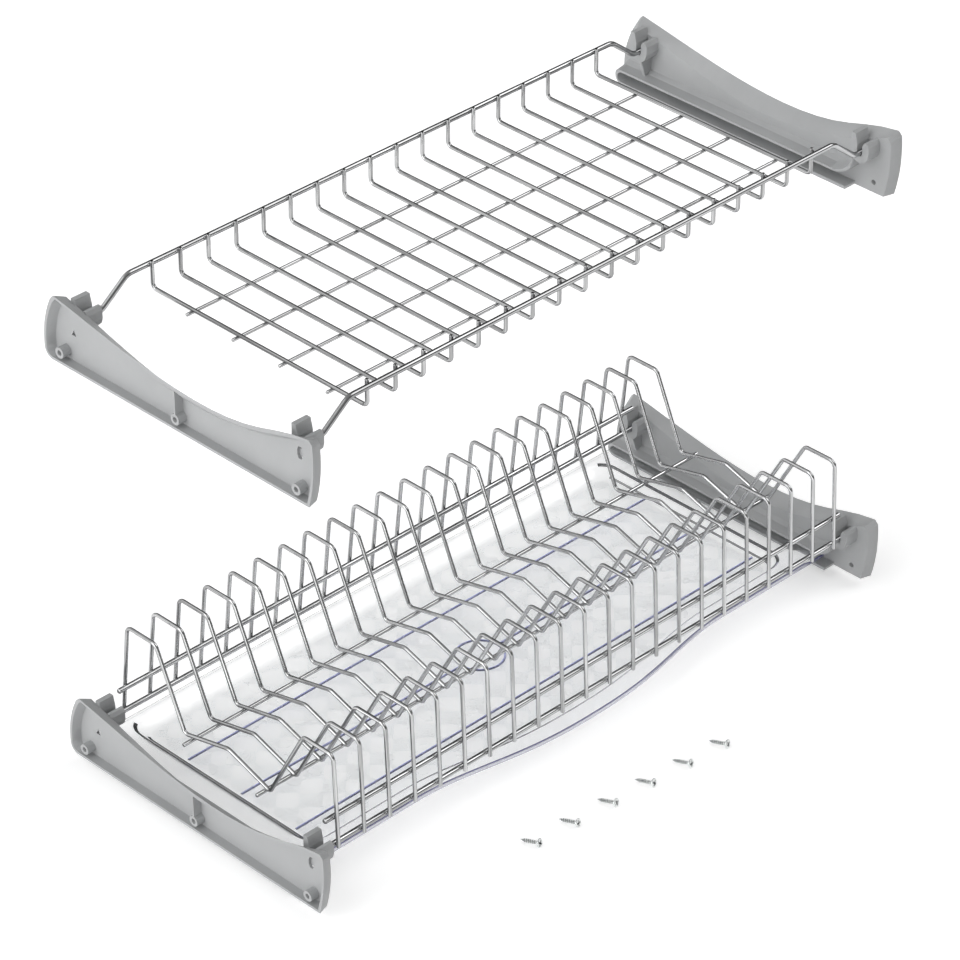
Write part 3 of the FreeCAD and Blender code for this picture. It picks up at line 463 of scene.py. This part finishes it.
def clear_plastic(name, tint):
    """Smooth clear plastic with the slight waviness of a moulding."""
    material, nodes, links = new_material(name)
    place = nodes.new("ShaderNodeTexCoord").outputs["Object"]
    shader = add(nodes, "ShaderNodeBsdfPrincipled", IOR=1.5, Transmission_Weight=1.0, Base_Color=tint)
    sag = noise(nodes, links, place, 26.0, 2.0)
    links.new(ramp(nodes, links, sag, ((0.3, 0.04), (0.7, 0.10))), shader.inputs["Roughness"])
    links.new(bump(nodes, links, sag, 0.02, 0.3 * MM), shader.inputs["Normal"])
    let_lamps_through(nodes, links, shader, tint)
    return material


def painted_edge_film(name, dark, light, alpha):
    """Painted shade on a thin edge or wall of the moulding: a tinted film that stands in for the lines
    refraction, reflection and the grooves' shadow draw there.
    """
    material, nodes, links = new_material(name)
    place = nodes.new("ShaderNodeTexCoord").outputs["Object"]
    shader = add(nodes, "ShaderNodeBsdfPrincipled", IOR=1.5, Roughness=0.12, Alpha=alpha)
    sag = noise(nodes, links, place, 26.0, 2.0)
    links.new(ramp(nodes, links, sag, ((0.3, dark), (0.7, light))), shader.inputs["Base Color"])
    connect_output(nodes, links, shader.outputs["BSDF"])
    return material


def combine(nodes, links, kind, first, second=0.0):
    """Math on an output and either a second output or a number."""
    node = nodes.new("ShaderNodeMath")
    node.operation = kind
    links.new(first, node.inputs[0])
    if isinstance(second, float):
        node.inputs[1].default_value = second
    else:
        links.new(second, node.inputs[1])
    return node.outputs["Value"]


def cell_wave(nodes, links, along):
    """Sine of a coordinate that changes its sign at every cell."""
    return combine(nodes, links, "SINE", combine(nodes, links, "MULTIPLY", along, math.pi / CELL_SPACING))


def diamond_plastic_painted_shade(name, tint, dark):
    """Clear plastic with painted shade: every second diamond cell is tinted darker, standing in for the light
    and shade the moulded cells catch.
    """
    material, nodes, links = new_material(name)
    place = nodes.new("ShaderNodeTexCoord").outputs["Object"]
    turned = nodes.new("ShaderNodeMapping")
    turned.inputs["Rotation"].default_value = (0, 0, math.radians(45))
    links.new(place, turned.inputs["Vector"])
    axes = nodes.new("ShaderNodeSeparateXYZ")
    links.new(turned.outputs["Vector"], axes.inputs["Vector"])
    across = cell_wave(nodes, links, axes.outputs["X"])
    cells = combine(nodes, links, "MULTIPLY", across, cell_wave(nodes, links, axes.outputs["Y"]))
    shader = add(nodes, "ShaderNodeBsdfPrincipled", IOR=1.5, Transmission_Weight=1.0)
    links.new(ramp(nodes, links, cells, ((0.02, dark), (0.10, tint))), shader.inputs["Base Color"])
    cloud = noise(nodes, links, place, 60.0, 3.0)
    links.new(ramp(nodes, links, cloud, ((0.3, 0.20), (0.7, 0.30))), shader.inputs["Roughness"])
    links.new(bump(nodes, links, cloud, 0.05, 0.1 * MM), shader.inputs["Normal"])
    let_lamps_through(nodes, links, shader, tint)
    return material


def wave(x):
    """How far the front stands out at x, as a share of the bulge."""
    share = min(1.0, abs(x) / BULGE_HALF)
    return 0.5 + 0.5 * math.cos(math.pi * share ** 1.25)


def arc_points(centre_x, centre_y, radius, start, count=8):
    """Points of a quarter circle, counter-clockwise from a start angle in degrees."""
    points = []
    for index in range(count + 1):
        angle = math.radians(start + 90 * index / count)
        points.append((centre_x + radius * math.cos(angle), centre_y + radius * math.sin(angle)))
    return points


def span(start, end, count):
    """Evenly spaced numbers between two values, without the ends."""
    return [start + (end - start) * index / (count + 1) for index in range(1, count + 1)]


def tray_plan(half, back, front, bulge, radius):
    """Plan outline, counter-clockwise from the front of the right side."""
    points = [(half, y) for y in span(front + radius, back - radius, 60)]
    points += arc_points(half - radius, back - radius, radius, 0)
    points += [(x, back) for x in span(half - radius, radius - half, 40)]
    points += arc_points(radius - half, back - radius, radius, 90)
    points += [(-half, y) for y in span(back - radius, front + radius, 60)]
    points += arc_points(radius - half, front + radius, radius, 180)
    points += [(x, front - bulge * wave(x)) for x in span(radius - half, half - radius, 160)]
    points += arc_points(half - radius, front + radius, radius, 270)
    return points


def flange_ring(inset, height):
    """Ring on the flange outline; height is a value or a function of x and y."""
    plan = tray_plan(FLANGE_HALF - inset, FLANGE_BACK - inset, FLANGE_FRONT + inset, BULGE,
                     FLANGE_CORNER - inset)
    return [(x, y, height(x, y) if callable(height) else height) for x, y in plan]


def basin_ring(inset, z):
    """Ring on the basin wall, which leans in towards the floor."""
    lean = (FLANGE_TOP - z) / (FLANGE_TOP - BASIN_LOW)
    plan = tray_plan(BASIN_HALF - inset - 6 * MM * lean, BASIN_BACK - inset - 9 * MM * lean,
                     BASIN_FRONT + inset + 3 * MM * lean, BASIN_BULGE, BASIN_CORNER - inset)
    return [(x, y, z) for x, y in plan]


def step_share(value, edge, width):
    """0 below an edge and 1 above it, smooth over a width."""
    share = min(1.0, max(0.0, (value - edge) / width + 0.5))
    return share * share * (3 - 2 * share)


def runner_z(x, y):
    """Lower edge of the flange rim, turned down along the two sides."""
    side = step_share(abs(x), FLANGE_HALF - 3 * MM, 2 * MM)
    run = step_share(y, FLANGE_FRONT + 7 * MM, 4 * MM) * step_share(-y, -FLANGE_BACK + 7 * MM, 4 * MM)
    plain = FLANGE_TOP - SHEET - 0.3 * MM
    return plain + (RUNNER_LOW - plain) * side * run


def lip(x, y):
    """Rise of the low lip along the front edge."""
    return LIP_RISE * step_share(-y, -FLANGE_FRONT - 4 * MM, 3 * MM) * step_share(LIP_END - abs(x), 0, 4 * MM)


def diamond_floor(ring):
    """Points and triangles of the inner floor, and the spot each point comes from.

    Each whole diamond rises to a low peak, and the rest is level up to the ring.
    """
    half = max(x for x, y, z in ring)
    back = max(y for x, y, z in ring)
    front = min(y for x, y, z in ring) + BASIN_BULGE
    spots = [Vector((x, y)) for x, y, z in ring]
    heights = [FLOOR_TOP] * len(spots)
    edges = [(k, (k + 1) % len(ring)) for k in range(len(ring))]
    step = CELL_SPACING / math.sqrt(2)
    numbers = {}
    for i in range(-int(half / step), int(half / step) + 1):
        for j in range(int((front - BASIN_BULGE) / step), int(back / step) + 1):
            x = i * step
            y = j * step
            nearest = front - BASIN_BULGE * wave(x) + CELL_MARGIN
            if abs(x) < half - CELL_MARGIN and nearest < y < back - CELL_MARGIN:
                numbers[(i, j)] = len(spots)
                spots.append(Vector((x, y)))
    for i, j in numbers:
        around = [(i + 1, j), (i - 1, j), (i, j + 1), (i, j - 1)]
        whole = (i + j) % 2 and all(place in numbers for place in around)
        heights.append(FLOOR_TOP + (CELL_RISE if whole else 0))
        for place in ((i + 1, j + 1), (i + 1, j - 1)):
            if (i + j) % 2 == 0 and place in numbers:
                edges.append((numbers[(i, j)], numbers[place]))
    flat, _, triangles, origins, _, _ = delaunay_2d_cdt([spot / MM for spot in spots], edges, [], 1, 0.0001)
    sources = [origin[0] for origin in origins]
    points = [(spot.x * MM, spot.y * MM, heights[source]) for spot, source in zip(flat, sources)]
    return points, triangles, sources


clear = clear_plastic("clear_polystyrene", CLEAR_TINT)
clear_floor_cell_shade = diamond_plastic_painted_shade("clear_polystyrene_diamond_painted_shade", CLEAR_TINT, CELL_PAINTED_SHADE)
clear_rib = clear_plastic("clear_polystyrene_rib", RIB_TINT)
under = FLANGE_TOP - SHEET
rings = [
    basin_ring(6 * MM, BASIN_LOW),
    basin_ring(2.2 * MM, BASIN_LOW + 0.25 * MM),
    basin_ring(0.7 * MM, BASIN_LOW + 1.2 * MM),
    basin_ring(0, BASIN_LOW + 3 * MM),
    basin_ring(0, under - 0.8 * MM),
    basin_ring(-0.8 * MM, under),
    flange_ring(2.1 * MM, under),
    flange_ring(2.0 * MM, lambda x, y: runner_z(x, y) + 0.4 * MM),
    flange_ring(1.6 * MM, runner_z),
    flange_ring(0.4 * MM, runner_z),
    flange_ring(0, lambda x, y: runner_z(x, y) + 0.4 * MM),
    flange_ring(0, lambda x, y: FLANGE_TOP - 0.5 * MM + lip(x, y)),
    flange_ring(0.15 * MM, lambda x, y: FLANGE_TOP - 0.15 * MM + lip(x, y)),
    flange_ring(0.5 * MM, lambda x, y: FLANGE_TOP + lip(x, y)),
    flange_ring(1.1 * MM, lambda x, y: FLANGE_TOP + lip(x, y)),
    flange_ring(1.5 * MM, lambda x, y: FLANGE_TOP + 0.7 * lip(x, y)),
    flange_ring(1.9 * MM, FLANGE_TOP),
    basin_ring(0.6 * MM, FLANGE_TOP),
    basin_ring(1.5 * MM, FLANGE_TOP - 0.4 * MM),
    basin_ring(2.0 * MM, FLANGE_TOP - 1.2 * MM),
    basin_ring(2.0 * MM, FLOOR_TOP + 2.5 * MM),
    basin_ring(2.8 * MM, FLOOR_TOP + 0.9 * MM),
    basin_ring(4.2 * MM, FLOOR_TOP + 0.15 * MM),
    basin_ring(6 * MM, FLOOR_TOP),
]
verts = [point for ring in rings for point in ring]
count = len(rings[0])
faces = ring_quads(count, len(rings))
wall_faces = len(faces)
faces.append(tuple(reversed(range(count))))
points, triangles, sources = diamond_floor(rings[-1])
rim_start = len(verts) - count
numbers = []
for point, source in zip(points, sources):
    numbers.append(rim_start + source if source < count else len(verts))
    if source >= count:
        verts.append(point)
faces += [tuple(numbers[k] for k in triangle) for triangle in triangles]
tray = mesh_piece("clear_drip_tray", verts, faces, clear, 35)
tray.data.materials.append(clear_floor_cell_shade)
for name, dark, light, alpha in PAINTED_EDGE_FILMS:
    tray.data.materials.append(painted_edge_film("clear_polystyrene_" + name, dark, light, alpha))
for number, polygon in enumerate(tray.data.polygons):
    band = number // count
    at_front = polygon.center.y < BASIN_FRONT + 6 * MM
    at_side = abs(polygon.center.x) > BASIN_HALF - 9 * MM
    if number >= wall_faces:
        polygon.material_index = CELL_SHADE_SLOT
        polygon.use_smooth = number == wall_faces
    # Painted shadow: the side bands along the grooves get the near-black film.
    elif band in SIDE_SHADOW_BANDS and at_side:
        polygon.material_index = SIDE_SHADOW_SLOT
    elif at_front:
        polygon.material_index = FRONT_SHADE_SLOTS.get(band, CLEAR_SLOT)
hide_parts("drip_tray")
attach(tray, "drip_tray")


def rib_line(points, closed):
    """Half-round rib along a line on the basin floor."""
    section = [(-1.0, -0.25), (-0.9, 0.45), (-0.55, 0.88), (0.0, 1.0),
               (0.55, 0.88), (0.9, 0.45), (1.0, -0.25)]
    verts = []
    faces = []
    total = len(points)
    for index, point in enumerate(points):
        ahead = points[(index + 1) % total] if closed or index < total - 1 else point
        behind = points[index - 1] if closed or index > 0 else point
        along = (ahead - behind).normalized()
        side = Vector((along.y, -along.x, 0))
        for across, rise in section:
            verts.append(point + side * across * RIB_HALF + Vector((0, 0, rise * RIB_RISE)))
    width = len(section)
    for index in range(total if closed else total - 1):
        here = index * width
        there = (index + 1) % total * width
        for k in range(width):
            following = (k + 1) % width
            faces.append((here + k, here + following, there + following, there + k))
    if not closed:
        faces.append(tuple(reversed(range(width))))
        faces.append(tuple(range(len(verts) - width, len(verts))))
    return verts, faces


rib_verts = []
rib_faces = []
spans = [(-RIB_END, RIB_END, BACK_RIB), (-RIB_END, RIB_END, FRONT_RIB),
         (-RING_R, -RIB_END, MIDDLE_RIB), (RING_R, RIB_END, MIDDLE_RIB)]
lines = [([Vector((x, y, FLOOR_TOP)) for x in (first, last)], False) for first, last, y in spans]
circle = [2 * math.pi * k / RING_SIDES for k in range(RING_SIDES)]
ring_points = [Vector((RING_R * math.cos(a), MIDDLE_RIB + RING_R * math.sin(a), FLOOR_TOP)) for a in circle]
lines.append((ring_points, True))
for points, closed in lines:
    verts, faces = rib_line(points, closed)
    start = len(rib_verts)
    rib_verts += verts
    rib_faces += [tuple(start + k for k in face) for face in faces]
ribs = mesh_piece("tray_floor_ribs", rib_verts, rib_faces, clear_rib, 60)
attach(ribs, "drip_tray")


# Screws: six loose countersunk chipboard screws, 3.5 by 16, of zinc-plated steel. Rolled
# thread up to the neck, a sharp point and a cross recess in the flat head. Each lies on
# its thread and the rim of its head.

SCREW_COUNT = 6
SCREW_ROW = Vector((50 * MM, -175 * MM, 0))
SCREW_STEP = Vector((-35 * MM, 3 * MM, 0))
ROW_TURN = math.radians(23)
SCREW_TURN = math.radians(16)
SCREW_LENGTH = 16 * MM
SCREW_CORE = 1.15 * MM
SCREW_CREST = 1.8 * MM
SCREW_HEAD = 3.5 * MM
HEAD_START = 13.0 * MM
RIM_START = 15.0 * MM
THREAD_PITCH = 1.6 * MM
RECESS_DEPTH = 1.7 * MM
RECESS_REACH = 2.4 * MM
SCREW_STEPS = 160
SCREW_SIDES = 28


def zinc_plate():
    """Bright zinc with a cool, slightly cloudy sheen; painted shade darkens it towards black in the thread
    valleys, under the head and in the cross recess.
    """
    material, nodes, links = new_material("zinc_plated_steel")
    place = nodes.new("ShaderNodeTexCoord").outputs["Object"]
    shader = add(nodes, "ShaderNodeBsdfPrincipled", Metallic=1.0)
    cloud = noise(nodes, links, place, 420.0, 4.0)
    bright = ramp(nodes, links, cloud, ((0.3, (0.62, 0.64, 0.64, 1)), (0.7, (0.82, 0.84, 0.83, 1))))
    painted_shade = nodes.new("ShaderNodeAttribute")
    painted_shade.attribute_name = "painted_shade"
    tone = nodes.new("ShaderNodeMix")
    tone.data_type = "RGBA"
    links.new(painted_shade.outputs["Fac"], tone.inputs["Factor"])
    links.new(bright, tone.inputs["A"])
    # Near-black painted shade for the thread valleys, the neck under the head and the cross recess.
    tone.inputs["B"].default_value = (0.03, 0.035, 0.035, 1)
    links.new(tone.outputs["Result"], shader.inputs["Base Color"])
    links.new(ramp(nodes, links, cloud, ((0.3, 0.20), (0.7, 0.34))), shader.inputs["Roughness"])
    links.new(bump(nodes, links, cloud, 0.05, 0.03 * MM), shader.inputs["Normal"])
    connect_output(nodes, links, shader.outputs["BSDF"])
    return material


def screw_radius(along, angle):
    """Radius at a length from the tip and an angle round the axis, and how much painted shade it gets there.
    """
    if along > HEAD_START:
        share = min(1.0, (along - HEAD_START) / (RIM_START - HEAD_START))
        round_off = max(0.0, along - SCREW_LENGTH + 0.3 * MM)
        return SCREW_CORE + (SCREW_HEAD - SCREW_CORE) * share - round_off, 0.25 * (1 - share)
    phase = (along / THREAD_PITCH - angle / (2 * math.pi)) % 1.0
    ridge = max(0.0, 1.0 - abs(phase - 0.5) / 0.32)
    fade = min(1.0, max(0.0, (HEAD_START - along) / (0.7 * MM)))
    taper = min(1.0, along / (3.6 * MM))
    radius = (SCREW_CORE + (SCREW_CREST - SCREW_CORE) * ridge * fade) * (0.10 + 0.90 * taper)
    return radius, 0.7 * (1 - min(1.0, 1.8 * ridge)) * fade


def recess_depth(x, y):
    """Depth of the cross recess under a point of the head's face."""
    arm = min(abs(x), abs(y))
    wing = max(0.0, 1.0 - max(0.0, arm - 0.35 * MM) / (0.25 * MM))
    return RECESS_DEPTH * wing * max(0.0, 1.0 - math.hypot(x, y) / RECESS_REACH) ** 0.6


def screw_shape():
    """Points, shares of painted shade and faces of one screw, tip at the origin, axis along Z."""
    verts = []
    painted_shades = []
    for index in range(SCREW_STEPS + 1):
        along = SCREW_LENGTH * index / SCREW_STEPS
        for k in range(SCREW_SIDES):
            angle = 2 * math.pi * k / SCREW_SIDES
            radius, painted_shade = screw_radius(along, angle)
            verts.append(Vector((radius * math.cos(angle), radius * math.sin(angle), along)))
            painted_shades.append(painted_shade)
    for share in (0.86, 0.75, 0.66, 0.58, 0.5, 0.42, 0.34, 0.27, 0.2, 0.13, 0.06):
        for k in range(SCREW_SIDES):
            angle = 2 * math.pi * k / SCREW_SIDES
            x = SCREW_HEAD * share * math.cos(angle)
            y = SCREW_HEAD * share * math.sin(angle)
            depth = recess_depth(x, y)
            verts.append(Vector((x, y, SCREW_LENGTH + 0.15 * MM * (1 - share) - depth)))
            painted_shades.append(min(1.0, depth / (0.5 * MM)))
    faces = [tuple(reversed(range(SCREW_SIDES)))] + ring_quads(SCREW_SIDES, len(verts) // SCREW_SIDES)
    faces.append(tuple(range(len(verts) - SCREW_SIDES, len(verts))))
    return verts, painted_shades, faces


ground_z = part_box("screws")[0][2]
tilt = math.atan2(SCREW_HEAD - SCREW_CREST, HEAD_START - 2 * MM)
lay = Matrix.Rotation(SCREW_TURN, 4, "Z") @ Matrix.Rotation(math.pi / 2 - tilt, 4, "X")
lift = Matrix.Translation((0, 0, SCREW_LENGTH / 2 * math.sin(tilt)))
to_middle = Matrix.Translation((0, 0, -SCREW_LENGTH / 2))
row_start = SCREW_ROW + Matrix.Rotation(ROW_TURN, 4, "Z") @ Vector((0, -SCREW_LENGTH / 2, 0))
row_start.z = ground_z + SCREW_CREST
shape_verts, shape_painted_shades, shape_faces = screw_shape()
screw_verts = []
screw_painted_shades = []
screw_faces = []
for index in range(SCREW_COUNT):
    roll = Matrix.Rotation(math.radians(17 + 61 * index), 4, "Z")
    matrix = Matrix.Translation(row_start + SCREW_STEP * index) @ lift @ lay @ roll @ to_middle
    start = len(screw_verts)
    screw_verts += [matrix @ vert for vert in shape_verts]
    screw_painted_shades += shape_painted_shades
    screw_faces += [tuple(start + k for k in face) for face in shape_faces]
loose_screws = mesh_piece("threaded_screws", screw_verts, screw_faces, zinc_plate(), 45)
point_values(loose_screws, "painted_shade", "FLOAT", "value", screw_painted_shades)
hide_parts("screws")
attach(loose_screws, "brackets")


# Studio: a plain white floor at the level that the screws lie on, in a pale room with four
# soft windows of light, a bright low strip and one dim corner, which draw the light and
# dark lines along the plated wires, and a soft lamp on the left.

FLOOR_HALF = 20.0
FLOOR_LIFT = 0.37
THROUGH_LIFT = 0.42
WINDOWS = (
    ((0.587, -0.342, 0.734), 19, 2.4),
    ((-0.587, 0.155, 0.795), 14, 1.4),
    ((-0.587, 0.589, 0.50), 32, 0.4),
    ((-0.93, 0.0, 0.37), 25, 1.6),
)
DIM_CORNER = (0.59, 0.57, 0.50)
LOW_STRIP = (-0.80, -0.60, 0.07)
STRIP_TOP = 0.16
STRIP_GAIN = 2.4
LAMP_PLACE = Vector((-1.75, 0.55, 0.33))
LAMP_TARGET = Vector((-0.2, 0, 0.16))


def white_floor():
    """White floor that keeps soft shadows."""
    material, nodes, links = new_material("white_floor")
    surface = add(nodes, "ShaderNodeBsdfDiffuse", Color=(0.95, 0.95, 0.95, 1))
    glow = add(nodes, "ShaderNodeEmission", Strength=FLOOR_LIFT)
    path = nodes.new("ShaderNodeLightPath").outputs
    seen = combine(nodes, links, "MAXIMUM", path["Is Camera Ray"], path["Is Glossy Ray"])
    through = combine(nodes, links, "MULTIPLY", path["Is Transmission Ray"], THROUGH_LIFT / FLOOR_LIFT)
    strongest = combine(nodes, links, "MAXIMUM", seen, through)
    links.new(combine(nodes, links, "MULTIPLY", strongest, FLOOR_LIFT), glow.inputs["Strength"])
    both = nodes.new("ShaderNodeAddShader")
    links.new(surface.outputs["BSDF"], both.inputs[0])
    links.new(glow.outputs["Emission"], both.inputs[1])
    connect_output(nodes, links, both.outputs["Shader"])
    return material


corners = [(-FLOOR_HALF, -FLOOR_HALF, ground_z), (FLOOR_HALF, -FLOOR_HALF, ground_z),
           (FLOOR_HALF, FLOOR_HALF, ground_z), (-FLOOR_HALF, FLOOR_HALF, ground_z)]
floor = mesh_piece("floor", corners, [(0, 1, 2, 3)], white_floor())

world = bpy.data.worlds.new("studio")
bpy.context.scene.world = world
world.use_nodes = True
room_nodes = world.node_tree.nodes
room_links = world.node_tree.links
room_nodes.clear()
direction = room_nodes.new("ShaderNodeTexCoord").outputs["Generated"]


def facing(towards):
    """How far the direction looks the given way: the dot product."""
    node = room_nodes.new("ShaderNodeVectorMath")
    node.operation = "DOT_PRODUCT"
    node.inputs[1].default_value = towards
    room_links.new(direction, node.inputs[0])
    return node.outputs["Value"]


def room_math(kind, first, second):
    """Math on the light of the room."""
    return combine(room_nodes, room_links, kind, first, second)


def patch(towards, radius, edge):
    """1 within an angle of a direction and 0 beyond it, soft over an edge; both in degrees."""
    node = room_nodes.new("ShaderNodeMapRange")
    node.interpolation_type = "SMOOTHSTEP"
    node.inputs["From Min"].default_value = math.cos(math.radians(radius + edge))
    node.inputs["From Max"].default_value = math.cos(math.radians(radius - edge))
    room_links.new(facing(Vector(towards).normalized()), node.inputs["Value"])
    return node.outputs["Result"]


room_light = room_math("MAXIMUM", room_math("ADD", facing((-0.08, 0.16, 0.20)), 0.26), 0.13)
shade = room_math("SUBTRACT", room_math("MULTIPLY", patch(DIM_CORNER, 24, 5), -0.85), -1.0)
room_light = room_math("MULTIPLY", room_light, shade)
for towards, radius, strength in WINDOWS:
    room_light = room_math("ADD", room_light, room_math("MULTIPLY", patch(towards, radius, 5), strength))
height = facing((0, 0, 1))
above = room_math("GREATER_THAN", height, 0.0)
low_strip = room_math("MULTIPLY", above, room_math("LESS_THAN", height, STRIP_TOP))
low_strip = room_math("MULTIPLY", low_strip, patch(LOW_STRIP, 32, 3))
room_light = room_math("ADD", room_light, room_math("MULTIPLY", low_strip, STRIP_GAIN))
background = add(room_nodes, "ShaderNodeBackground", Strength=1.0)
room_links.new(room_light, background.inputs["Color"])
room_output = room_nodes.new("ShaderNodeOutputWorld")
room_links.new(background.outputs["Background"], room_output.inputs["Surface"])

side_lamp = bpy.data.lights.new("side_lamp", "AREA")
side_lamp.shape = "RECTANGLE"
side_lamp.size = 1.0
side_lamp.size_y = 0.6
side_lamp.energy = 4.0
side_light = bpy.data.objects.new("side_lamp", side_lamp)
side_light.location = LAMP_PLACE
side_light.rotation_euler = (LAMP_TARGET - LAMP_PLACE).to_track_quat("-Z", "Y").to_euler()
bpy.context.collection.objects.link(side_light)


# Camera: the photograph's angle, from the front left and above, with a long lens.

CAMERA_AZIMUTH = math.radians(-44.86)
CAMERA_ELEVATION = math.radians(33.5)
CAMERA_DISTANCE = 3100 * MM
CAMERA_LEFT = 2.9 * MM
CAMERA_UP = 92.3 * MM
TARGET = Vector((0, 0, 47 * MM))
FOCAL_PIXELS = 4300.0
FRAME_PIXELS = 960.0
SENSOR_MM = 36.0

back = Vector((math.sin(CAMERA_AZIMUTH) * math.cos(CAMERA_ELEVATION),
               -math.cos(CAMERA_AZIMUTH) * math.cos(CAMERA_ELEVATION), math.sin(CAMERA_ELEVATION)))
right = Vector((math.cos(CAMERA_AZIMUTH), math.sin(CAMERA_AZIMUTH), 0))
up = back.cross(right)
lens = bpy.data.cameras.new("camera")
lens.sensor_width = SENSOR_MM
lens.lens = FOCAL_PIXELS / FRAME_PIXELS * SENSOR_MM
lens.clip_start = 0.05
camera = bpy.data.objects.new("camera", lens)
place = TARGET + back * CAMERA_DISTANCE - right * CAMERA_LEFT + up * CAMERA_UP
camera.matrix_world = Matrix.Translation(place) @ Matrix((right, up, back)).transposed().to_4x4()
bpy.context.collection.objects.link(camera)
bpy.context.scene.camera = camera
bpy.context.scene.view_settings.view_transform = "Standard"
